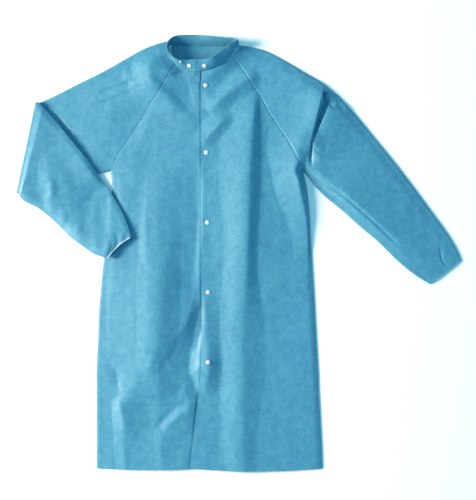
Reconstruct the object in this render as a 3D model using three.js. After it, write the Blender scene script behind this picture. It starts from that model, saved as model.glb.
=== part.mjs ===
// A disposable protective frock of nonwoven cloth, laid flat with its front up and one sleeve folded
// back over it.
//
// Every piece is worked out in the pattern frame, in millimetres: X runs across from the closing edge
// of the front, Y runs up from the hem and Z up from the table. The exported group moves that frame so
// that its origin is on the table, under the middle of the whole outline. "Left" and "right" are those
// of someone looking down at the front.
//
// Each piece of cloth is a grid of points on the middle of its wall, made of rows that run across the
// piece, and is then given its thickness. One height, upperZ, holds for the whole upper layer, so its
// pieces meet at their seams.

import * as THREE from "three";

// ---- Driving dimensions -------------------------------------------------------------------------

const CLOTH = 1; // wall of one layer of cloth
const BAND = 1.5; // wall of the doubled collar band
const SEAM = 0.3; // gap that two pieces keep at a seam
const SEAM_SHIFT = 0.2; // how far each piece stops short of a slanting seam, measured along its rows
const BACK_Z = CLOTH / 2; // middle of the layer that lies on the table
const EDGE_Z = BACK_Z + CLOTH + SEAM; // middle of a front where it meets the back at the side seam
const TURN_Z = 3; // middle of the upper layer of a sleeve beside its folded edge
const LOOSE_Z = 5; // usual height of the upper layer
const LOW_Z = 4.5; // its height in the deepest trough
const FLANK_POWER = 1.5; // how hollow the flanks of a fold are: 1 would be straight
const EDGE_REACH = 1.75; // strip along an edge that stays at the height of the edge
const EDGE_ROUND = 14; // width over which the upper layer rises from there
const LAP_DROP = 2.6; // how far the left front runs below the right front
const LAP_EASE = 14; // width of the step down to that
const LAP_WIDTH = 28; // how far the left front reaches under the right front
const BAND_WIDTH = 30; // collar band, from the neck seam to its free edge
const BAND_BOW = 1.5; // how far the middle of the band stands out
const ELASTIC_WIDTH = 5;
const ELASTIC_THICK = 0.8;
const ELASTIC_INSET = 3; // from the edge of the cuff
const SNAP_RADIUS = 5.35;
const STUD_RADIUS = 3;
const SNAP_HEIGHT = 1.8;
const FOLD_AXIS_Z = 7.2; // height of the line that the left sleeve turns over
const REST_Z = 10.6; // lower layer of the folded part where it lies on the garment
const TABLE_Z = 0.8; // the same layer where it lies on the table
const REST_EASE = 60; // width over which it comes down to the table
const TUBE_LOFT = 3.2; // how far the folded part fills out between its edges
const TUBE_ROUND = 22; // width over which it does so
const HEM_RISE = 3; // how far the hem of the back lies above that of the fronts
const NECK_DIP = [-8, 1053]; // where the neck edge of the back would dip to, for its curve

const RAGLAN_STEPS = 12;
const BODY_STEPS = 19;
const STRAIGHT_STEPS = 12;
const UPPER_STEPS = 4;
const FOLDED_STEPS = 9;
const FRONT_COLUMNS = 12;
const TOP_COLUMNS = 9;
const BACK_COLUMNS = 4;
const FRONT_CROWDING = 0.45; // how much closer the columns of a front stand beside its side edge
const TOP_CROWDING = 0.7; // the same for the first layer of a sleeve, beside both of its ends
const RIM_STEPS = 12; // places round a snap where the cloth below it is felt
const CAP_SIDES = 16;

const NONWOVEN = { color: 0x5aa6c5, roughness: 0.75 };
const ELASTIC = { color: 0xf2f5f5, roughness: 0.6 };
const SNAP = { color: 0xf2f5f5, roughness: 0.35 };

// ---- Tables -------------------------------------------------------------------------------------

const table = (names, rows) => rows.map((row) => {
  return Object.fromEntries(names.map((name, i) => [name, row[i]]));
});

// The raglan seams, from the neck to the underarm: the folded shoulder edge, the front seam and the
// back seam. Bow is how far the upper layer of that row curves away from the neck.
const RAGLAN = ["shoulderX", "shoulderY", "frontX", "frontY", "backX", "backY", "bow"];
const LEFT_RAGLAN = table(RAGLAN, [
  [-90, 1067, -70, 1008, -67, 1056, 6],
  [-118, 1059, -92, 971, -84, 1018, 3],
  [-152, 1045, -113, 934, -104, 978, 0],
  [-192, 1023, -134, 905, -128, 937, 0],
  [-232, 1000, -155, 868, -152, 892, 0],
  [-270, 980, -182, 827, -180, 842, 0],
  [-307, 962, -210, 785, -208, 791, 0],
  [-340, 945, -230, 742, -230, 742, 0],
]);
const RIGHT_RAGLAN = table(RAGLAN, [
  [96, 1057, 72, 1029, 50, 1054, 0],
  [125, 1051, 100, 995, 72, 1008, 0],
  [155, 1043, 125, 955, 97, 964, 0],
  [190, 1026, 146, 925, 124, 922, 0],
  [225, 1006, 167, 886, 150, 879, 0],
  [260, 985, 192, 848, 180, 838, 0],
  [290, 968, 222, 802, 212, 795, 0],
  [303, 959, 251, 742, 251, 742, 0],
]);

// The closing edge of the right front beside each raglan row, and how far the row bows on either side
// of it.
const CLOSING = table(["x", "y", "leftBow", "rightBow"], [
  [-2, 991, -2, -8],
  [-5, 957, -2, -4],
  [-5, 935, 0, -2],
  [-5, 905, 0, 0],
  [-5, 868, 0, 0],
  [-4, 827, 0, 0],
  [-4, 785, 0, 0],
  [-4, 742, 0, 0],
]);

// The body below the underarms: the two side seams and the closing edge of the right front.
const BODY = table(["y", "left", "x", "right", "leftBow", "rightBow"], [
  [742, -230, -4, 251, 0, 0],
  [695, -226, -4, 261, 0, 0],
  [640, -232, -4, 267, 0, 0],
  [580, -240, -4, 270, 0, 0],
  [520, -247, -4, 273, 0, 0],
  [450, -254, -3, 277, 0, 0],
  [390, -259, -2, 280, 0, 0],
  [315, -262, -2, 284, 0, 0],
  [245, -265, -4, 288, 0, 0],
  [190, -265, -10, 290, 0, 0],
  [116, -265, -19, 294, 0, 0],
  [55, -265, -26, 297, -1, -3],
  [0, -265, -34, 299, -3, -7],
]);

// Sections of a sleeve below the armhole: its upper and lower edges, and how far up from the lower edge
// the underarm seam has rolled.
const TUBE = ["upperX", "upperY", "lowerX", "lowerY", "seam"];
const RIGHT_TUBE = table(TUBE, [
  [308, 957, 260, 727, 1],
  [337, 932, 280, 704, 6],
  [379, 886, 312, 673, 12],
  [428, 826, 350, 642, 15],
  [477, 766, 392, 604, 16],
  [523, 706, 435, 568, 16],
  [571, 641, 480, 524, 14],
  [611, 586, 516, 493, 11],
  [635, 545, 546, 472, 8],
  [645, 520, 567, 460, 5],
]);
const LEFT_TUBE = table(TUBE, [
  [-362, 934, -280, 731, 1],
  [-385, 923, -370, 709, 2],
  [-408, 913, -456, 685, 2],
]);
// Sections of the part that is folded back, from the fold to the cuff.
const FOLDED_TUBE = table(TUBE, [
  [-396, 901, -453, 676, 2],
  [-373, 876, -441, 665, 2],
  [-323, 816, -408, 648, 3],
  [-293, 779, -366, 614, 3],
  [-260, 734, -329, 577, 3],
  [-226, 685, -298, 554, 3],
  [-200, 641, -275, 538, 3],
  [-184, 603, -255, 530, 3],
  [-176, 577, -236, 524, 3],
]);

// The pleat across the top of the right sleeve, from its lip to its rim: how far each row lies beyond
// the lip, as a share of the mouth and as a length, and how far below it.
const PLEAT = table(["across", "beyond", "down"], [
  [0, 0.9, 1],
  [0, 0.4, 3.4],
  [0, -3.5, 6.2],
  [0.45, 0, 7],
  [0.85, 0, 4],
  [1, 0, 0.5],
]);
const PLEAT_MOUTH = 20; // widest opening between lip and rim
const PLEAT_FLOOR = 2.6; // lowest that it goes
// Shares of the way from the underarm to the shoulder edge where the mouth starts, is widest and closes
// again.
const PLEAT_SPAN = { start: 0.08, widest: 0.7, end: 0.97 };

// Folds of the upper layer. Each is walked along its crest, with its height there and how far its
// flanks reach to the left and to the right of the walker. A negative height is a trough, and round is
// the radius of the crest.
const PATH = ["x", "y", "height", "left", "right"];
const fold = (name, round, path) => ({ name, round, path: table(PATH, path) });
const FOLDS = [
  fold("fullness", 60, [
    [-15, -30, 2, 240, 290],
    [-5, 990, 3, 200, 240],
  ]),
  fold("right_front_ridge", 7, [
    [112, -15, 16, 100, 100],
    [112, 170, 15, 95, 80],
    [113, 377, 14, 90, 55],
    [118, 587, 13, 100, 45],
    [123, 752, 12, 95, 40],
    [136, 850, 8, 70, 34],
    [148, 925, 1, 40, 28],
  ]),
  fold("left_front_ridge", 7, [
    [-200, 172, 2, 40, 30],
    [-155, 200, 7, 75, 40],
    [-122, 250, 12, 105, 45],
    [-107, 320, 15, 115, 45],
    [-105, 445, 13, 115, 48],
    [-108, 570, 9, 85, 42],
    [-112, 695, 6, 75, 36],
    [-107, 795, 3, 60, 30],
    [-100, 870, 0, 40, 20],
  ]),
  fold("left_hem_ridge", 6, [
    [-108, -15, 6, 70, 40],
    [-107, 95, 6, 60, 30],
    [-105, 182, 4, 50, 30],
    [-105, 260, 0, 40, 30],
  ]),
  fold("lap_valley", 6, [
    [-67, 145, 0, 50, 25],
    [-47, 220, -3, 55, 22],
    [-32, 275, -4, 60, 20],
    [-15, 345, -2, 50, 18],
    [-5, 420, 0, 40, 18],
  ]),
  fold("snap_ridge", 5, [
    [2, 165, 0, 30, 26],
    [7, 207, 3, 30, 26],
    [9, 262, 5, 34, 28],
    [8, 340, 0, 30, 26],
  ]),
  fold("lap_side_valley", 6, [
    [45, 130, 0, 35, 35],
    [50, 207, -3, 35, 35],
    [50, 295, -3, 35, 35],
    [37, 370, -2, 30, 35],
    [25, 445, 0, 30, 35],
  ]),
  fold("high_chest_ridge", 5, [
    [5, 902, 0, 35, 25],
    [55, 930, 4, 40, 28],
    [105, 962, 4, 40, 30],
    [130, 990, 0, 40, 30],
  ]),
  fold("low_chest_ridge", 5, [
    [0, 795, 0, 35, 25],
    [35, 832, 5, 35, 25],
    [70, 872, 4, 35, 25],
    [95, 905, 0, 35, 25],
  ]),
  fold("right_side_ridge", 5, [
    [266, 520, 0, 50, 20],
    [258, 600, 3, 60, 22],
    [248, 680, 4, 74, 25],
    [220, 760, 4, 66, 22],
    [206, 830, 3, 50, 40],
    [172, 880, 0, 30, 30],
  ]),
  fold("neck_lift", 20, [
    [-95, 1040, 1, 60, 60],
    [-62, 1003, 4, 60, 60],
    [-2, 985, 7, 60, 70],
    [52, 1006, 6, 60, 70],
    [95, 1045, 1, 60, 60],
  ]),
  fold("collar_trough", 5, [
    [2, 935, 0, 20, 20],
    [-17, 955, -2, 20, 20],
    [-45, 975, -4, 22, 22],
    [-78, 992, -3, 22, 22],
    [-102, 1022, 0, 20, 20],
  ]),
  fold("right_sleeve_ridge", 8, [
    [545, 530, 0, 30, 70],
    [500, 566, 3, 36, 100],
    [450, 610, 4, 40, 120],
    [392, 662, 5, 42, 140],
    [335, 708, 4, 40, 140],
    [296, 752, 3, 30, 130],
    [280, 790, 0, 24, 90],
  ]),
  fold("pleat_ridge", 5, [
    [254, 760, 0, 40, 40],
    [272, 830, 3, 50, 60],
    [288, 892, 5, 50, 70],
    [299, 935, 3, 40, 50],
    [303, 955, 0, 30, 30],
  ]),
  fold("left_sleeve_ridge", 20, [
    [-357, 845, 0, 60, 70],
    [-270, 882, 3, 60, 70],
    [-182, 932, 3, 50, 60],
    [-132, 982, 0, 50, 60],
  ]),
];

// Folds of the top of the part that is folded back.
const FOLDED_FOLDS = [
  fold("outer_ridge", 8, [
    [-420, 800, 0, 30, 30],
    [-375, 745, 3, 35, 40],
    [-335, 655, 3, 35, 40],
    [-300, 590, 0, 25, 30],
  ]),
  fold("inner_ridge", 8, [
    [-345, 800, 0, 40, 25],
    [-280, 720, 3, 40, 30],
    [-245, 655, 4, 35, 30],
    [-222, 590, 1, 20, 20],
    [-212, 560, 0, 20, 20],
  ]),
];

// The neck seam of the collar, from its hidden end on the left front, round the neck, to the free end
// of its tab, with the free edge of the band beside it. Layer is the share of the way up from the back
// to the upper layer.
const COLLAR = table(["seamX", "seamY", "edgeX", "edgeY", "layer", "lift"], [
  [10, 995.5, 10, 1017.5, 1, -2],
  [-18, 996, -18, 1017.5, 1, 0],
  [-45, 998, -43.5, 1016, 1, 0.2],
  [-66, 1008, -64, 1018, 1, 0.4],
  [-80, 1027, -83, 1033, 1, 0.4],
  [-85, 1044, -88, 1049, 0.8, 0],
  [-82, 1056, -83, 1064, 0.3, 0.6],
  [-66, 1057, -67, 1076, 0, 0],
  [-42, 1057, -43, 1079, 0, 0],
  [-10, 1055, -10, 1079, 0, 0],
  [22, 1055, 25, 1075, 0, 0],
  [50, 1056, 56, 1072, 0, 0],
  [74, 1058, 80, 1070, 0, 0],
  [91, 1057, 88, 1066, 0.55, 0.6],
  [84, 1046, 73, 1057, 1, 0.8],
  [72, 1030, 55, 1046, 1, 0.6],
  [56, 1015, 38, 1031, 1, 0.4],
  [31, 1001, 25, 1022, 1, 0.8],
  [-3, 991, -2, 1016, 1, 1.6],
  [-24, 992, -24, 1015, 1, 3],
  [-42, 996, -41, 1015, 1, 4],
]);
const COLLAR_STEPS = 34;

const FRONT_SNAPS = table(["x", "y"], [
  [7, 955.5],
  [10, 787.5],
  [12, 614],
  [13.5, 440.5],
  [13, 267.5],
]);
// Snaps of the collar, by the share of its length and of its width where each sits. The last is the
// bare stud.
const COLLAR_SNAPS = table(["name", "along", "up", "radius"], [
  ["snap_collar_1", 0.97, 0.5, SNAP_RADIUS],
  ["snap_collar_2", 0.888, 0.45, SNAP_RADIUS],
  ["stud_collar", 0.124, 0.84, STUD_RADIUS],
]);
// The outline of a cap, from the middle of its base to the middle of its top, as shares of its radius
// and height.
const CAP_PROFILE = table(["out", "up"], [
  [0, 0],
  [0.9, 0],
  [1, 0.25],
  [0.94, 0.56],
  [0.76, 0.72],
  [0.51, 0.94],
  [0, 1],
]);

// ---- Curves and heights -------------------------------------------------------------------------

// Every named column at a share of the way down a table, on a smooth curve through its rows.
function sample(rows, share) {
  const last = rows.length - 1;
  const place = Math.min(Math.max(share, 0), 1) * last;
  const start = Math.min(Math.floor(place), last - 1);
  const t = place - start;
  const near = [start - 1, start, start + 1, start + 2];
  const [a, b, c, d] = near.map((i) => rows[Math.min(Math.max(i, 0), last)]);
  const blend = (name) => {
    const bend = 2 * a[name] - 5 * b[name] + 4 * c[name] - d[name];
    const twist = 3 * (b[name] - c[name]) + d[name] - a[name];
    return b[name] + 0.5 * t * (c[name] - a[name] + t * (bend + t * twist));
  };
  return Object.fromEntries(Object.keys(b).map((name) => [name, blend(name)]));
}

const evenShares = (steps) => Array.from({ length: steps + 1 }, (_, i) => i / steps);
const sampleAll = (rows, steps) => evenShares(steps).map((share) => sample(rows, share));
const mix = (a, b, t) => a + (b - a) * t;
const smooth = (t) => {
  const s = Math.min(Math.max(t, 0), 1);
  return s * s * (3 - 2 * s);
};
const plan = (x, y) => new THREE.Vector2(x, y);
const lift = (point, z) => new THREE.Vector3(point.x, point.y, z);

// The point of a path nearest to a place: how far away it is, on which side, and how far along which
// stretch.
function nearest(path, x, y) {
  let best = { distance: Infinity };
  for (let i = 0; i + 1 < path.length; i += 1) {
    const dx = path[i + 1].x - path[i].x;
    const dy = path[i + 1].y - path[i].y;
    const along = ((x - path[i].x) * dx + (y - path[i].y) * dy) / (dx * dx + dy * dy);
    const t = Math.min(Math.max(along, 0), 1);
    const awayX = x - path[i].x - dx * t;
    const awayY = y - path[i].y - dy * t;
    const distance = Math.hypot(awayX, awayY);
    if (distance < best.distance) {
      best = { distance, stretch: i, t, onLeft: dx * awayY - dy * awayX > 0 };
    }
  }
  return best;
}

// Height that one fold adds at a place: full along its crest, and fading out over its flanks.
function rise({ path, round }, x, y) {
  const { distance, stretch, t, onLeft } = nearest(path, x, y);
  const [a, b] = [path[stretch], path[stretch + 1]];
  const reach = onLeft ? mix(a.left, b.left, t) : mix(a.right, b.right, t);
  if (distance >= reach) {
    return 0;
  }
  const away = Math.hypot(distance, round) - round;
  const whole = Math.hypot(reach, round) - round;
  return mix(a.height, b.height, t) * (1 - away / whole) ** FLANK_POWER;
}

const riseOfAll = (folds, x, y) => folds.reduce((sum, one) => sum + rise(one, x, y), 0);

const edgeOf = (rows, x, y, heights) => rows.map((row, i) => ({ x: row[x], y: row[y], z: heights(i) }));
const LEFT_ARM = [...sampleAll(LEFT_RAGLAN, RAGLAN_STEPS), ...sampleAll(LEFT_TUBE, UPPER_STEPS)];
const RIGHT_ARM = [...sampleAll(RIGHT_RAGLAN, RAGLAN_STEPS), ...sampleAll(RIGHT_TUBE, STRAIGHT_STEPS)];
const BODY_ROWS = sampleAll(BODY, BODY_STEPS);

// The edges where the upper layer comes down to the lower one.
const EDGES = [
  edgeOf(BODY_ROWS, "left", "y", () => EDGE_Z),
  edgeOf(BODY_ROWS, "right", "y", () => EDGE_Z),
  ...[LEFT_ARM, RIGHT_ARM].flatMap((arm) => {
    const underarm = { x: arm[RAGLAN_STEPS].frontX, y: arm[RAGLAN_STEPS].frontY, z: EDGE_Z };
    const raglan = arm.slice(0, RAGLAN_STEPS + 1);
    const tube = arm.slice(RAGLAN_STEPS + 1);
    const shoulder = edgeOf(raglan, "shoulderX", "shoulderY", () => TURN_Z);
    const upper = edgeOf(tube, "upperX", "upperY", () => TURN_Z);
    const lower = edgeOf(tube, "lowerX", "lowerY", () => TURN_Z);
    return [[...shoulder, ...upper], [underarm, ...lower]];
  }),
];

// Height of the middle of the upper layer.
function upperZ(x, y) {
  const loose = Math.max(LOOSE_Z + riseOfAll(FOLDS, x, y), LOW_Z);
  let height = loose;
  for (const edge of EDGES) {
    const { distance, stretch, t } = nearest(edge, x, y);
    const inside = Math.min(Math.max(distance - EDGE_REACH, 0) / EDGE_ROUND, 1);
    const low = mix(edge[stretch].z, edge[stretch + 1].z, t);
    height = Math.min(height, mix(low, loose, Math.sqrt(1 - (1 - inside) ** 2)));
  }
  return height;
}

// ---- Making solids ------------------------------------------------------------------------------

// Directions square to a grid of points, at each point.
function gridNormals(rows) {
  const normals = rows.map((row) => row.map(() => new THREE.Vector3()));
  for (let i = 0; i + 1 < rows.length; i += 1) {
    for (let j = 0; j + 1 < rows[i].length; j += 1) {
      const across = rows[i + 1][j + 1].clone().sub(rows[i][j]);
      const along = rows[i + 1][j].clone().sub(rows[i][j + 1]);
      const normal = across.cross(along).normalize();
      for (const [di, dj] of [[0, 0], [0, 1], [1, 0], [1, 1]]) {
        normals[i + di][j + dj].add(normal);
      }
    }
  }
  return normals.map((row) => row.map((normal) => normal.normalize()));
}

// A closed body with its faces outward, from its points and triangles.
function solid(points, triangles) {
  const volume = triangles.reduce((sum, [a, b, c]) => {
    return sum + points[a].dot(new THREE.Vector3().crossVectors(points[b], points[c]));
  }, 0);
  const faces = volume > 0 ? triangles : triangles.map(([a, b, c]) => [a, c, b]);
  const geometry = new THREE.BufferGeometry();
  const places = points.flatMap((p) => [p.x, p.y, p.z]);
  geometry.setAttribute("position", new THREE.Float32BufferAttribute(places, 3));
  geometry.setIndex(faces.flat());
  geometry.computeVertexNormals();
  return geometry;
}

// A grid of points given a thickness, half of it to each side, and closed round its rim.
function wall(rows, thickness) {
  const width = rows[0].length;
  const count = rows.length * width;
  const normals = gridNormals(rows).flat();
  const middle = rows.flat();
  const side = (way) => middle.map((p, i) => p.clone().addScaledVector(normals[i], (way * thickness) / 2));
  const triangles = [];
  const quad = (a, b, c, d) => triangles.push([a, b, c], [a, c, d]);
  for (let i = 0; i + 1 < rows.length; i += 1) {
    for (let j = 0; j + 1 < width; j += 1) {
      const at = i * width + j;
      quad(at, at + 1, at + width + 1, at + width);
      quad(count + at, count + at + width, count + at + width + 1, count + at + 1);
    }
  }
  const counted = (length, at) => Array.from({ length }, (_, i) => at(i));
  const rim = [
    ...counted(width - 1, (j) => j),
    ...counted(rows.length - 1, (i) => i * width + width - 1),
    ...counted(width - 1, (j) => count - 1 - j),
    ...counted(rows.length - 1, (i) => (rows.length - 1 - i) * width),
  ];
  rim.forEach((at, k) => {
    const next = rim[(k + 1) % rim.length];
    quad(at, count + at, count + next, next);
  });
  return solid([...side(1), ...side(-1)], triangles);
}

const frock = new THREE.Group();
function add(name, geometry, finish) {
  const mesh = new THREE.Mesh(geometry, new THREE.MeshStandardMaterial({ ...finish, metalness: 0 }));
  mesh.name = name;
  frock.add(mesh);
  return mesh;
}

// ---- Fronts -------------------------------------------------------------------------------------

// Places across a front, closer together beside its side edge.
const frontShare = (j) => {
  const t = j / FRONT_COLUMNS;
  return mix(t, t * t, FRONT_CROWDING);
};

// One row of a front, from its side or raglan edge to its closing edge.
function frontRow(sideX, sideY, closingX, closingY, bow, height) {
  const side = plan(sideX, sideY);
  const closing = plan(closingX, closingY);
  const start = side.clone().add(closing.clone().sub(side).setLength(SEAM_SHIFT));
  return Array.from({ length: FRONT_COLUMNS + 1 }, (_, j) => {
    const share = frontShare(j);
    const point = start.clone().lerp(closing, share);
    point.y += bow * Math.sin(Math.PI * share);
    return lift(point, height(point.x, point.y, closingX));
  });
}

const ARMHOLE_ROWS = evenShares(RAGLAN_STEPS).map((share) => ({
  left: sample(LEFT_RAGLAN, share),
  right: sample(RIGHT_RAGLAN, share),
  closing: sample(CLOSING, share),
}));

const rightFront = [
  ...ARMHOLE_ROWS.map(({ right, closing }) => {
    return frontRow(right.frontX, right.frontY, closing.x, closing.y, closing.rightBow, upperZ);
  }),
  ...BODY_ROWS.slice(1).map((row) => frontRow(row.right, row.y, row.x, row.y, row.rightBow, upperZ)),
];

// The left front steps down to pass under the right one.
function underZ(x, y, end) {
  return upperZ(x, y) - LAP_DROP * smooth(1 + (x - end + LAP_WIDTH) / LAP_EASE);
}
const leftFront = [
  ...ARMHOLE_ROWS.map(({ left, closing }) => {
    return frontRow(left.frontX, left.frontY, closing.x + LAP_WIDTH, closing.y, closing.leftBow, underZ);
  }),
  ...BODY_ROWS.slice(1).map((row) => {
    return frontRow(row.left, row.y, row.x + LAP_WIDTH, row.y, row.leftBow, underZ);
  }),
];

add("front_under", wall(leftFront, CLOTH), NONWOVEN);
add("front_over", wall(rightFront, CLOTH), NONWOVEN);

// ---- Back ---------------------------------------------------------------------------------------

// The back lies flat on the table: its hem, right side, right raglan seam, neck, left raglan seam and
// left side.
function backPanel() {
  const shape = new THREE.Shape();
  const hem = BODY_ROWS.at(-1);
  shape.moveTo(hem.left + SEAM, hem.y + HEM_RISE);
  shape.lineTo(hem.right - SEAM, hem.y + HEM_RISE);
  BODY_ROWS.slice(0, -1).reverse().forEach((row) => shape.lineTo(row.right - SEAM_SHIFT, row.y));
  ARMHOLE_ROWS.slice(0, -1).reverse().forEach(({ right }) => {
    shape.lineTo(right.backX - SEAM_SHIFT, right.backY);
  });
  shape.quadraticCurveTo(...NECK_DIP, LEFT_RAGLAN[0].backX + SEAM_SHIFT, LEFT_RAGLAN[0].backY);
  ARMHOLE_ROWS.slice(1).forEach(({ left }) => shape.lineTo(left.backX + SEAM_SHIFT, left.backY));
  BODY_ROWS.slice(1, -1).forEach((row) => shape.lineTo(row.left + SEAM_SHIFT, row.y));
  shape.closePath();
  return new THREE.ExtrudeGeometry(shape, { depth: CLOTH, bevelEnabled: false, curveSegments: 6 });
}

add("back_panel", backPanel(), NONWOVEN);

// ---- Sleeves ------------------------------------------------------------------------------------

const EDGE_ANGLES = [90, 45, 0, -45, -90].map(THREE.MathUtils.degToRad);
const END_SHARES = [0.25, 0.5, 0.75, 0.88, 1];
const END_LENGTH = 12; // stretch beside the back seam that the last points of a row share
const END_MOST = 0.4; // and the most of the row's second layer that it may take
const END_STEP = 0.5; // least stretch between the last points of a tube's row

// Shares of the first layer, closer together beside both of its ends.
const topShare = (j) => mix(j / TOP_COLUMNS, smooth(j / TOP_COLUMNS), TOP_CROWDING);

// The round edge of a flattened sleeve, from the first layer to the second, about a point inside it.
function turnedEdge(centre, outward, firstHeight, secondHeight) {
  const radius = (firstHeight - secondHeight) / 2;
  return EDGE_ANGLES.map((angle) => {
    const point = centre.clone().addScaledVector(outward, Math.abs(radius) * Math.cos(angle));
    return lift(point, secondHeight + radius + radius * Math.sin(angle));
  });
}

// A row of the raglan part: from the front seam over the shoulder edge to the back seam.
function raglanRow(row) {
  const front = plan(row.frontX, row.frontY);
  const back = plan(row.backX, row.backY);
  const shoulder = plan(row.shoulderX, row.shoulderY);
  const outward = shoulder.clone().sub(front.clone().lerp(back, 0.5)).normalize();
  const centre = shoulder.clone().addScaledVector(outward, -EDGE_REACH);
  const start = front.clone().add(centre.clone().sub(front).setLength(SEAM_SHIFT));
  const end = back.clone().add(centre.clone().sub(back).setLength(SEAM_SHIFT));
  const aside = Math.sign(row.shoulderX) * row.bow;
  const first = Array.from({ length: TOP_COLUMNS }, (_, j) => {
    const point = start.clone().lerp(centre, topShare(j));
    point.x += aside * Math.sin(Math.PI * topShare(j));
    return lift(point, upperZ(point.x, point.y));
  });
  const edge = turnedEdge(centre, outward, TURN_Z, BACK_Z);
  const endLength = Math.min(END_LENGTH, END_MOST * end.distanceTo(centre));
  const nearEnd = end.clone().add(centre.clone().sub(end).setLength(endLength));
  const second = Array.from({ length: BACK_COLUMNS }, (_, j) => {
    return lift(centre.clone().lerp(nearEnd, (j + 1) / BACK_COLUMNS), BACK_Z);
  });
  const last = END_SHARES.map((share) => lift(nearEnd.clone().lerp(end, share), BACK_Z));
  return [...first, ...edge, ...second, ...last];
}

// A row of a flattened tube: from the underarm seam over the first layer, round the upper edge, back
// along the second layer and round the lower edge, up to the other side of the seam.
function tubeRow(row, firstZ, secondZ) {
  const lower = plan(row.lowerX, row.lowerY);
  const upper = plan(row.upperX, row.upperY);
  const outward = upper.clone().sub(lower).normalize();
  const width = upper.distanceTo(lower);
  const lowFirst = firstZ(lower.x, lower.y);
  const lowSecond = secondZ(lower.x, lower.y);
  const radius = (lowFirst - lowSecond) / 2;
  const round = Math.abs(radius);
  const quarter = (round * Math.PI) / 2;
  const reach = round + CLOTH / 2;
  // The point at a distance from the outermost point of the lower edge, measured along the cloth.
  const at = (length, height, way) => {
    const angle = Math.min(length / round, Math.PI / 2);
    const beyond = Math.max(length - quarter, 0);
    const point = lower.clone().addScaledVector(outward, reach - round * Math.cos(angle) + beyond);
    const flat = height(point.x, point.y);
    return lift(point, length < quarter ? lowSecond + radius + way * radius * Math.sin(angle) : flat);
  };
  const alongCloth = (length) => (length < 0 ? at(-length, secondZ, -1) : at(length, firstZ, 1));
  const seam = Math.max(row.seam, 0);
  const start = seam + SEAM / 2;
  const topEnd = quarter + width - 2 * reach;
  const first = Array.from({ length: TOP_COLUMNS }, (_, j) => alongCloth(mix(start, topEnd, topShare(j))));
  const centre = upper.clone().addScaledVector(outward, -reach);
  const edge = turnedEdge(centre, outward, firstZ(upper.x, upper.y), secondZ(upper.x, upper.y));
  const second = Array.from({ length: BACK_COLUMNS }, (_, j) => {
    return alongCloth(-mix(topEnd, quarter, (j + 1) / BACK_COLUMNS));
  });
  const end = seam - SEAM / 2;
  const turned = Math.min(quarter, end - END_STEP);
  const last = [1, 2, 3].map((step) => alongCloth(mix(-quarter, turned, step / 3)));
  last.push(alongCloth(mix(turned, end, 0.5)), alongCloth(end));
  return [...first, ...edge, ...second, ...last];
}

// The pleat: rows that leave the lip of the last raglan row, turn under it and come up again at its
// rim. It fades out towards both ends of the first layer, and the second layer stays flat.
function pleatRows(lip, next) {
  const { start, widest, end } = PLEAT_SPAN;
  return PLEAT.map(({ across, beyond, down }, k) => lip.map((point, j) => {
    const base = point.clone().lerp(next[j], (k + 1) / (PLEAT.length + 1));
    const share = topShare(j);
    const open = Math.max(Math.min((share - start) / (widest - start), (end - share) / (end - widest)), 0);
    if (j >= TOP_COLUMNS || open === 0) {
      return base;
    }
    const ahead = plan(next[j].x - point.x, next[j].y - point.y).normalize();
    const reach = across * PLEAT_MOUTH * open + beyond;
    const x = point.x + ahead.x * reach;
    const y = point.y + ahead.y * reach;
    const top = upperZ(x, y);
    const folded = new THREE.Vector3(x, y, top - Math.min(down, Math.max(top - PLEAT_FLOOR, 0)));
    return base.lerp(folded, Math.min(open * 3, 1));
  }));
}

const flatZ = () => BACK_Z;
const rightRaglan = sampleAll(RIGHT_RAGLAN, RAGLAN_STEPS).map(raglanRow);
const rightTube = sampleAll(RIGHT_TUBE, STRAIGHT_STEPS).map((row) => tubeRow(row, upperZ, flatZ));
const pleat = pleatRows(rightRaglan.at(-1), rightTube[1]);
const straightSleeve = [...rightRaglan, ...pleat, ...rightTube.slice(1)];
add("sleeve_straight", wall(straightSleeve, CLOTH), NONWOVEN);

// Where the folded part lies: on the garment, or down on the table beyond the sleeve's lower edge and
// the side seam.
const SIDE_LINE = edgeOf(BODY_ROWS, "left", "y", () => 0);
const ARM_LINE = edgeOf(LEFT_ARM.slice(RAGLAN_STEPS + 1), "lowerX", "lowerY", () => 0);
function restZ(x, y) {
  const side = nearest(SIDE_LINE, x, y);
  const arm = nearest(ARM_LINE, x, y);
  const beyondSide = side.onLeft ? -side.distance : side.distance;
  const beyondArm = arm.onLeft ? arm.distance : -arm.distance;
  const clear = Math.min(beyondSide, beyondArm);
  return mix(REST_Z, TABLE_Z, smooth(clear / REST_EASE));
}

const FOLDED_ROWS = sampleAll(FOLDED_TUBE, FOLDED_STEPS);
const FOLDED_EDGES = [
  edgeOf(FOLDED_ROWS, "upperX", "upperY", () => 0),
  edgeOf(FOLDED_ROWS, "lowerX", "lowerY", () => 0),
];
function foldedTopZ(x, y) {
  const distance = Math.min(...FOLDED_EDGES.map((edge) => nearest(edge, x, y).distance));
  const inside = Math.min(Math.max(distance - EDGE_REACH, 0) / TUBE_ROUND, 1);
  const loft = TUBE_LOFT + riseOfAll(FOLDED_FOLDS, x, y);
  return restZ(x, y) + TURN_Z - BACK_Z + loft * Math.sqrt(1 - (1 - inside) ** 2);
}

// The turn: the last section of the tube swung half round about a level line above it.
function turnRows(section, away) {
  const angles = [36, 72, 108, 144, 180].map(THREE.MathUtils.degToRad);
  return angles.map((angle) => section.map((point) => {
    const arm = FOLD_AXIS_Z - point.z;
    const out = arm * Math.sin(angle);
    const level = FOLD_AXIS_Z - arm * Math.cos(angle);
    return new THREE.Vector3(point.x + away.x * out, point.y + away.y * out, level);
  }));
}

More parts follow.
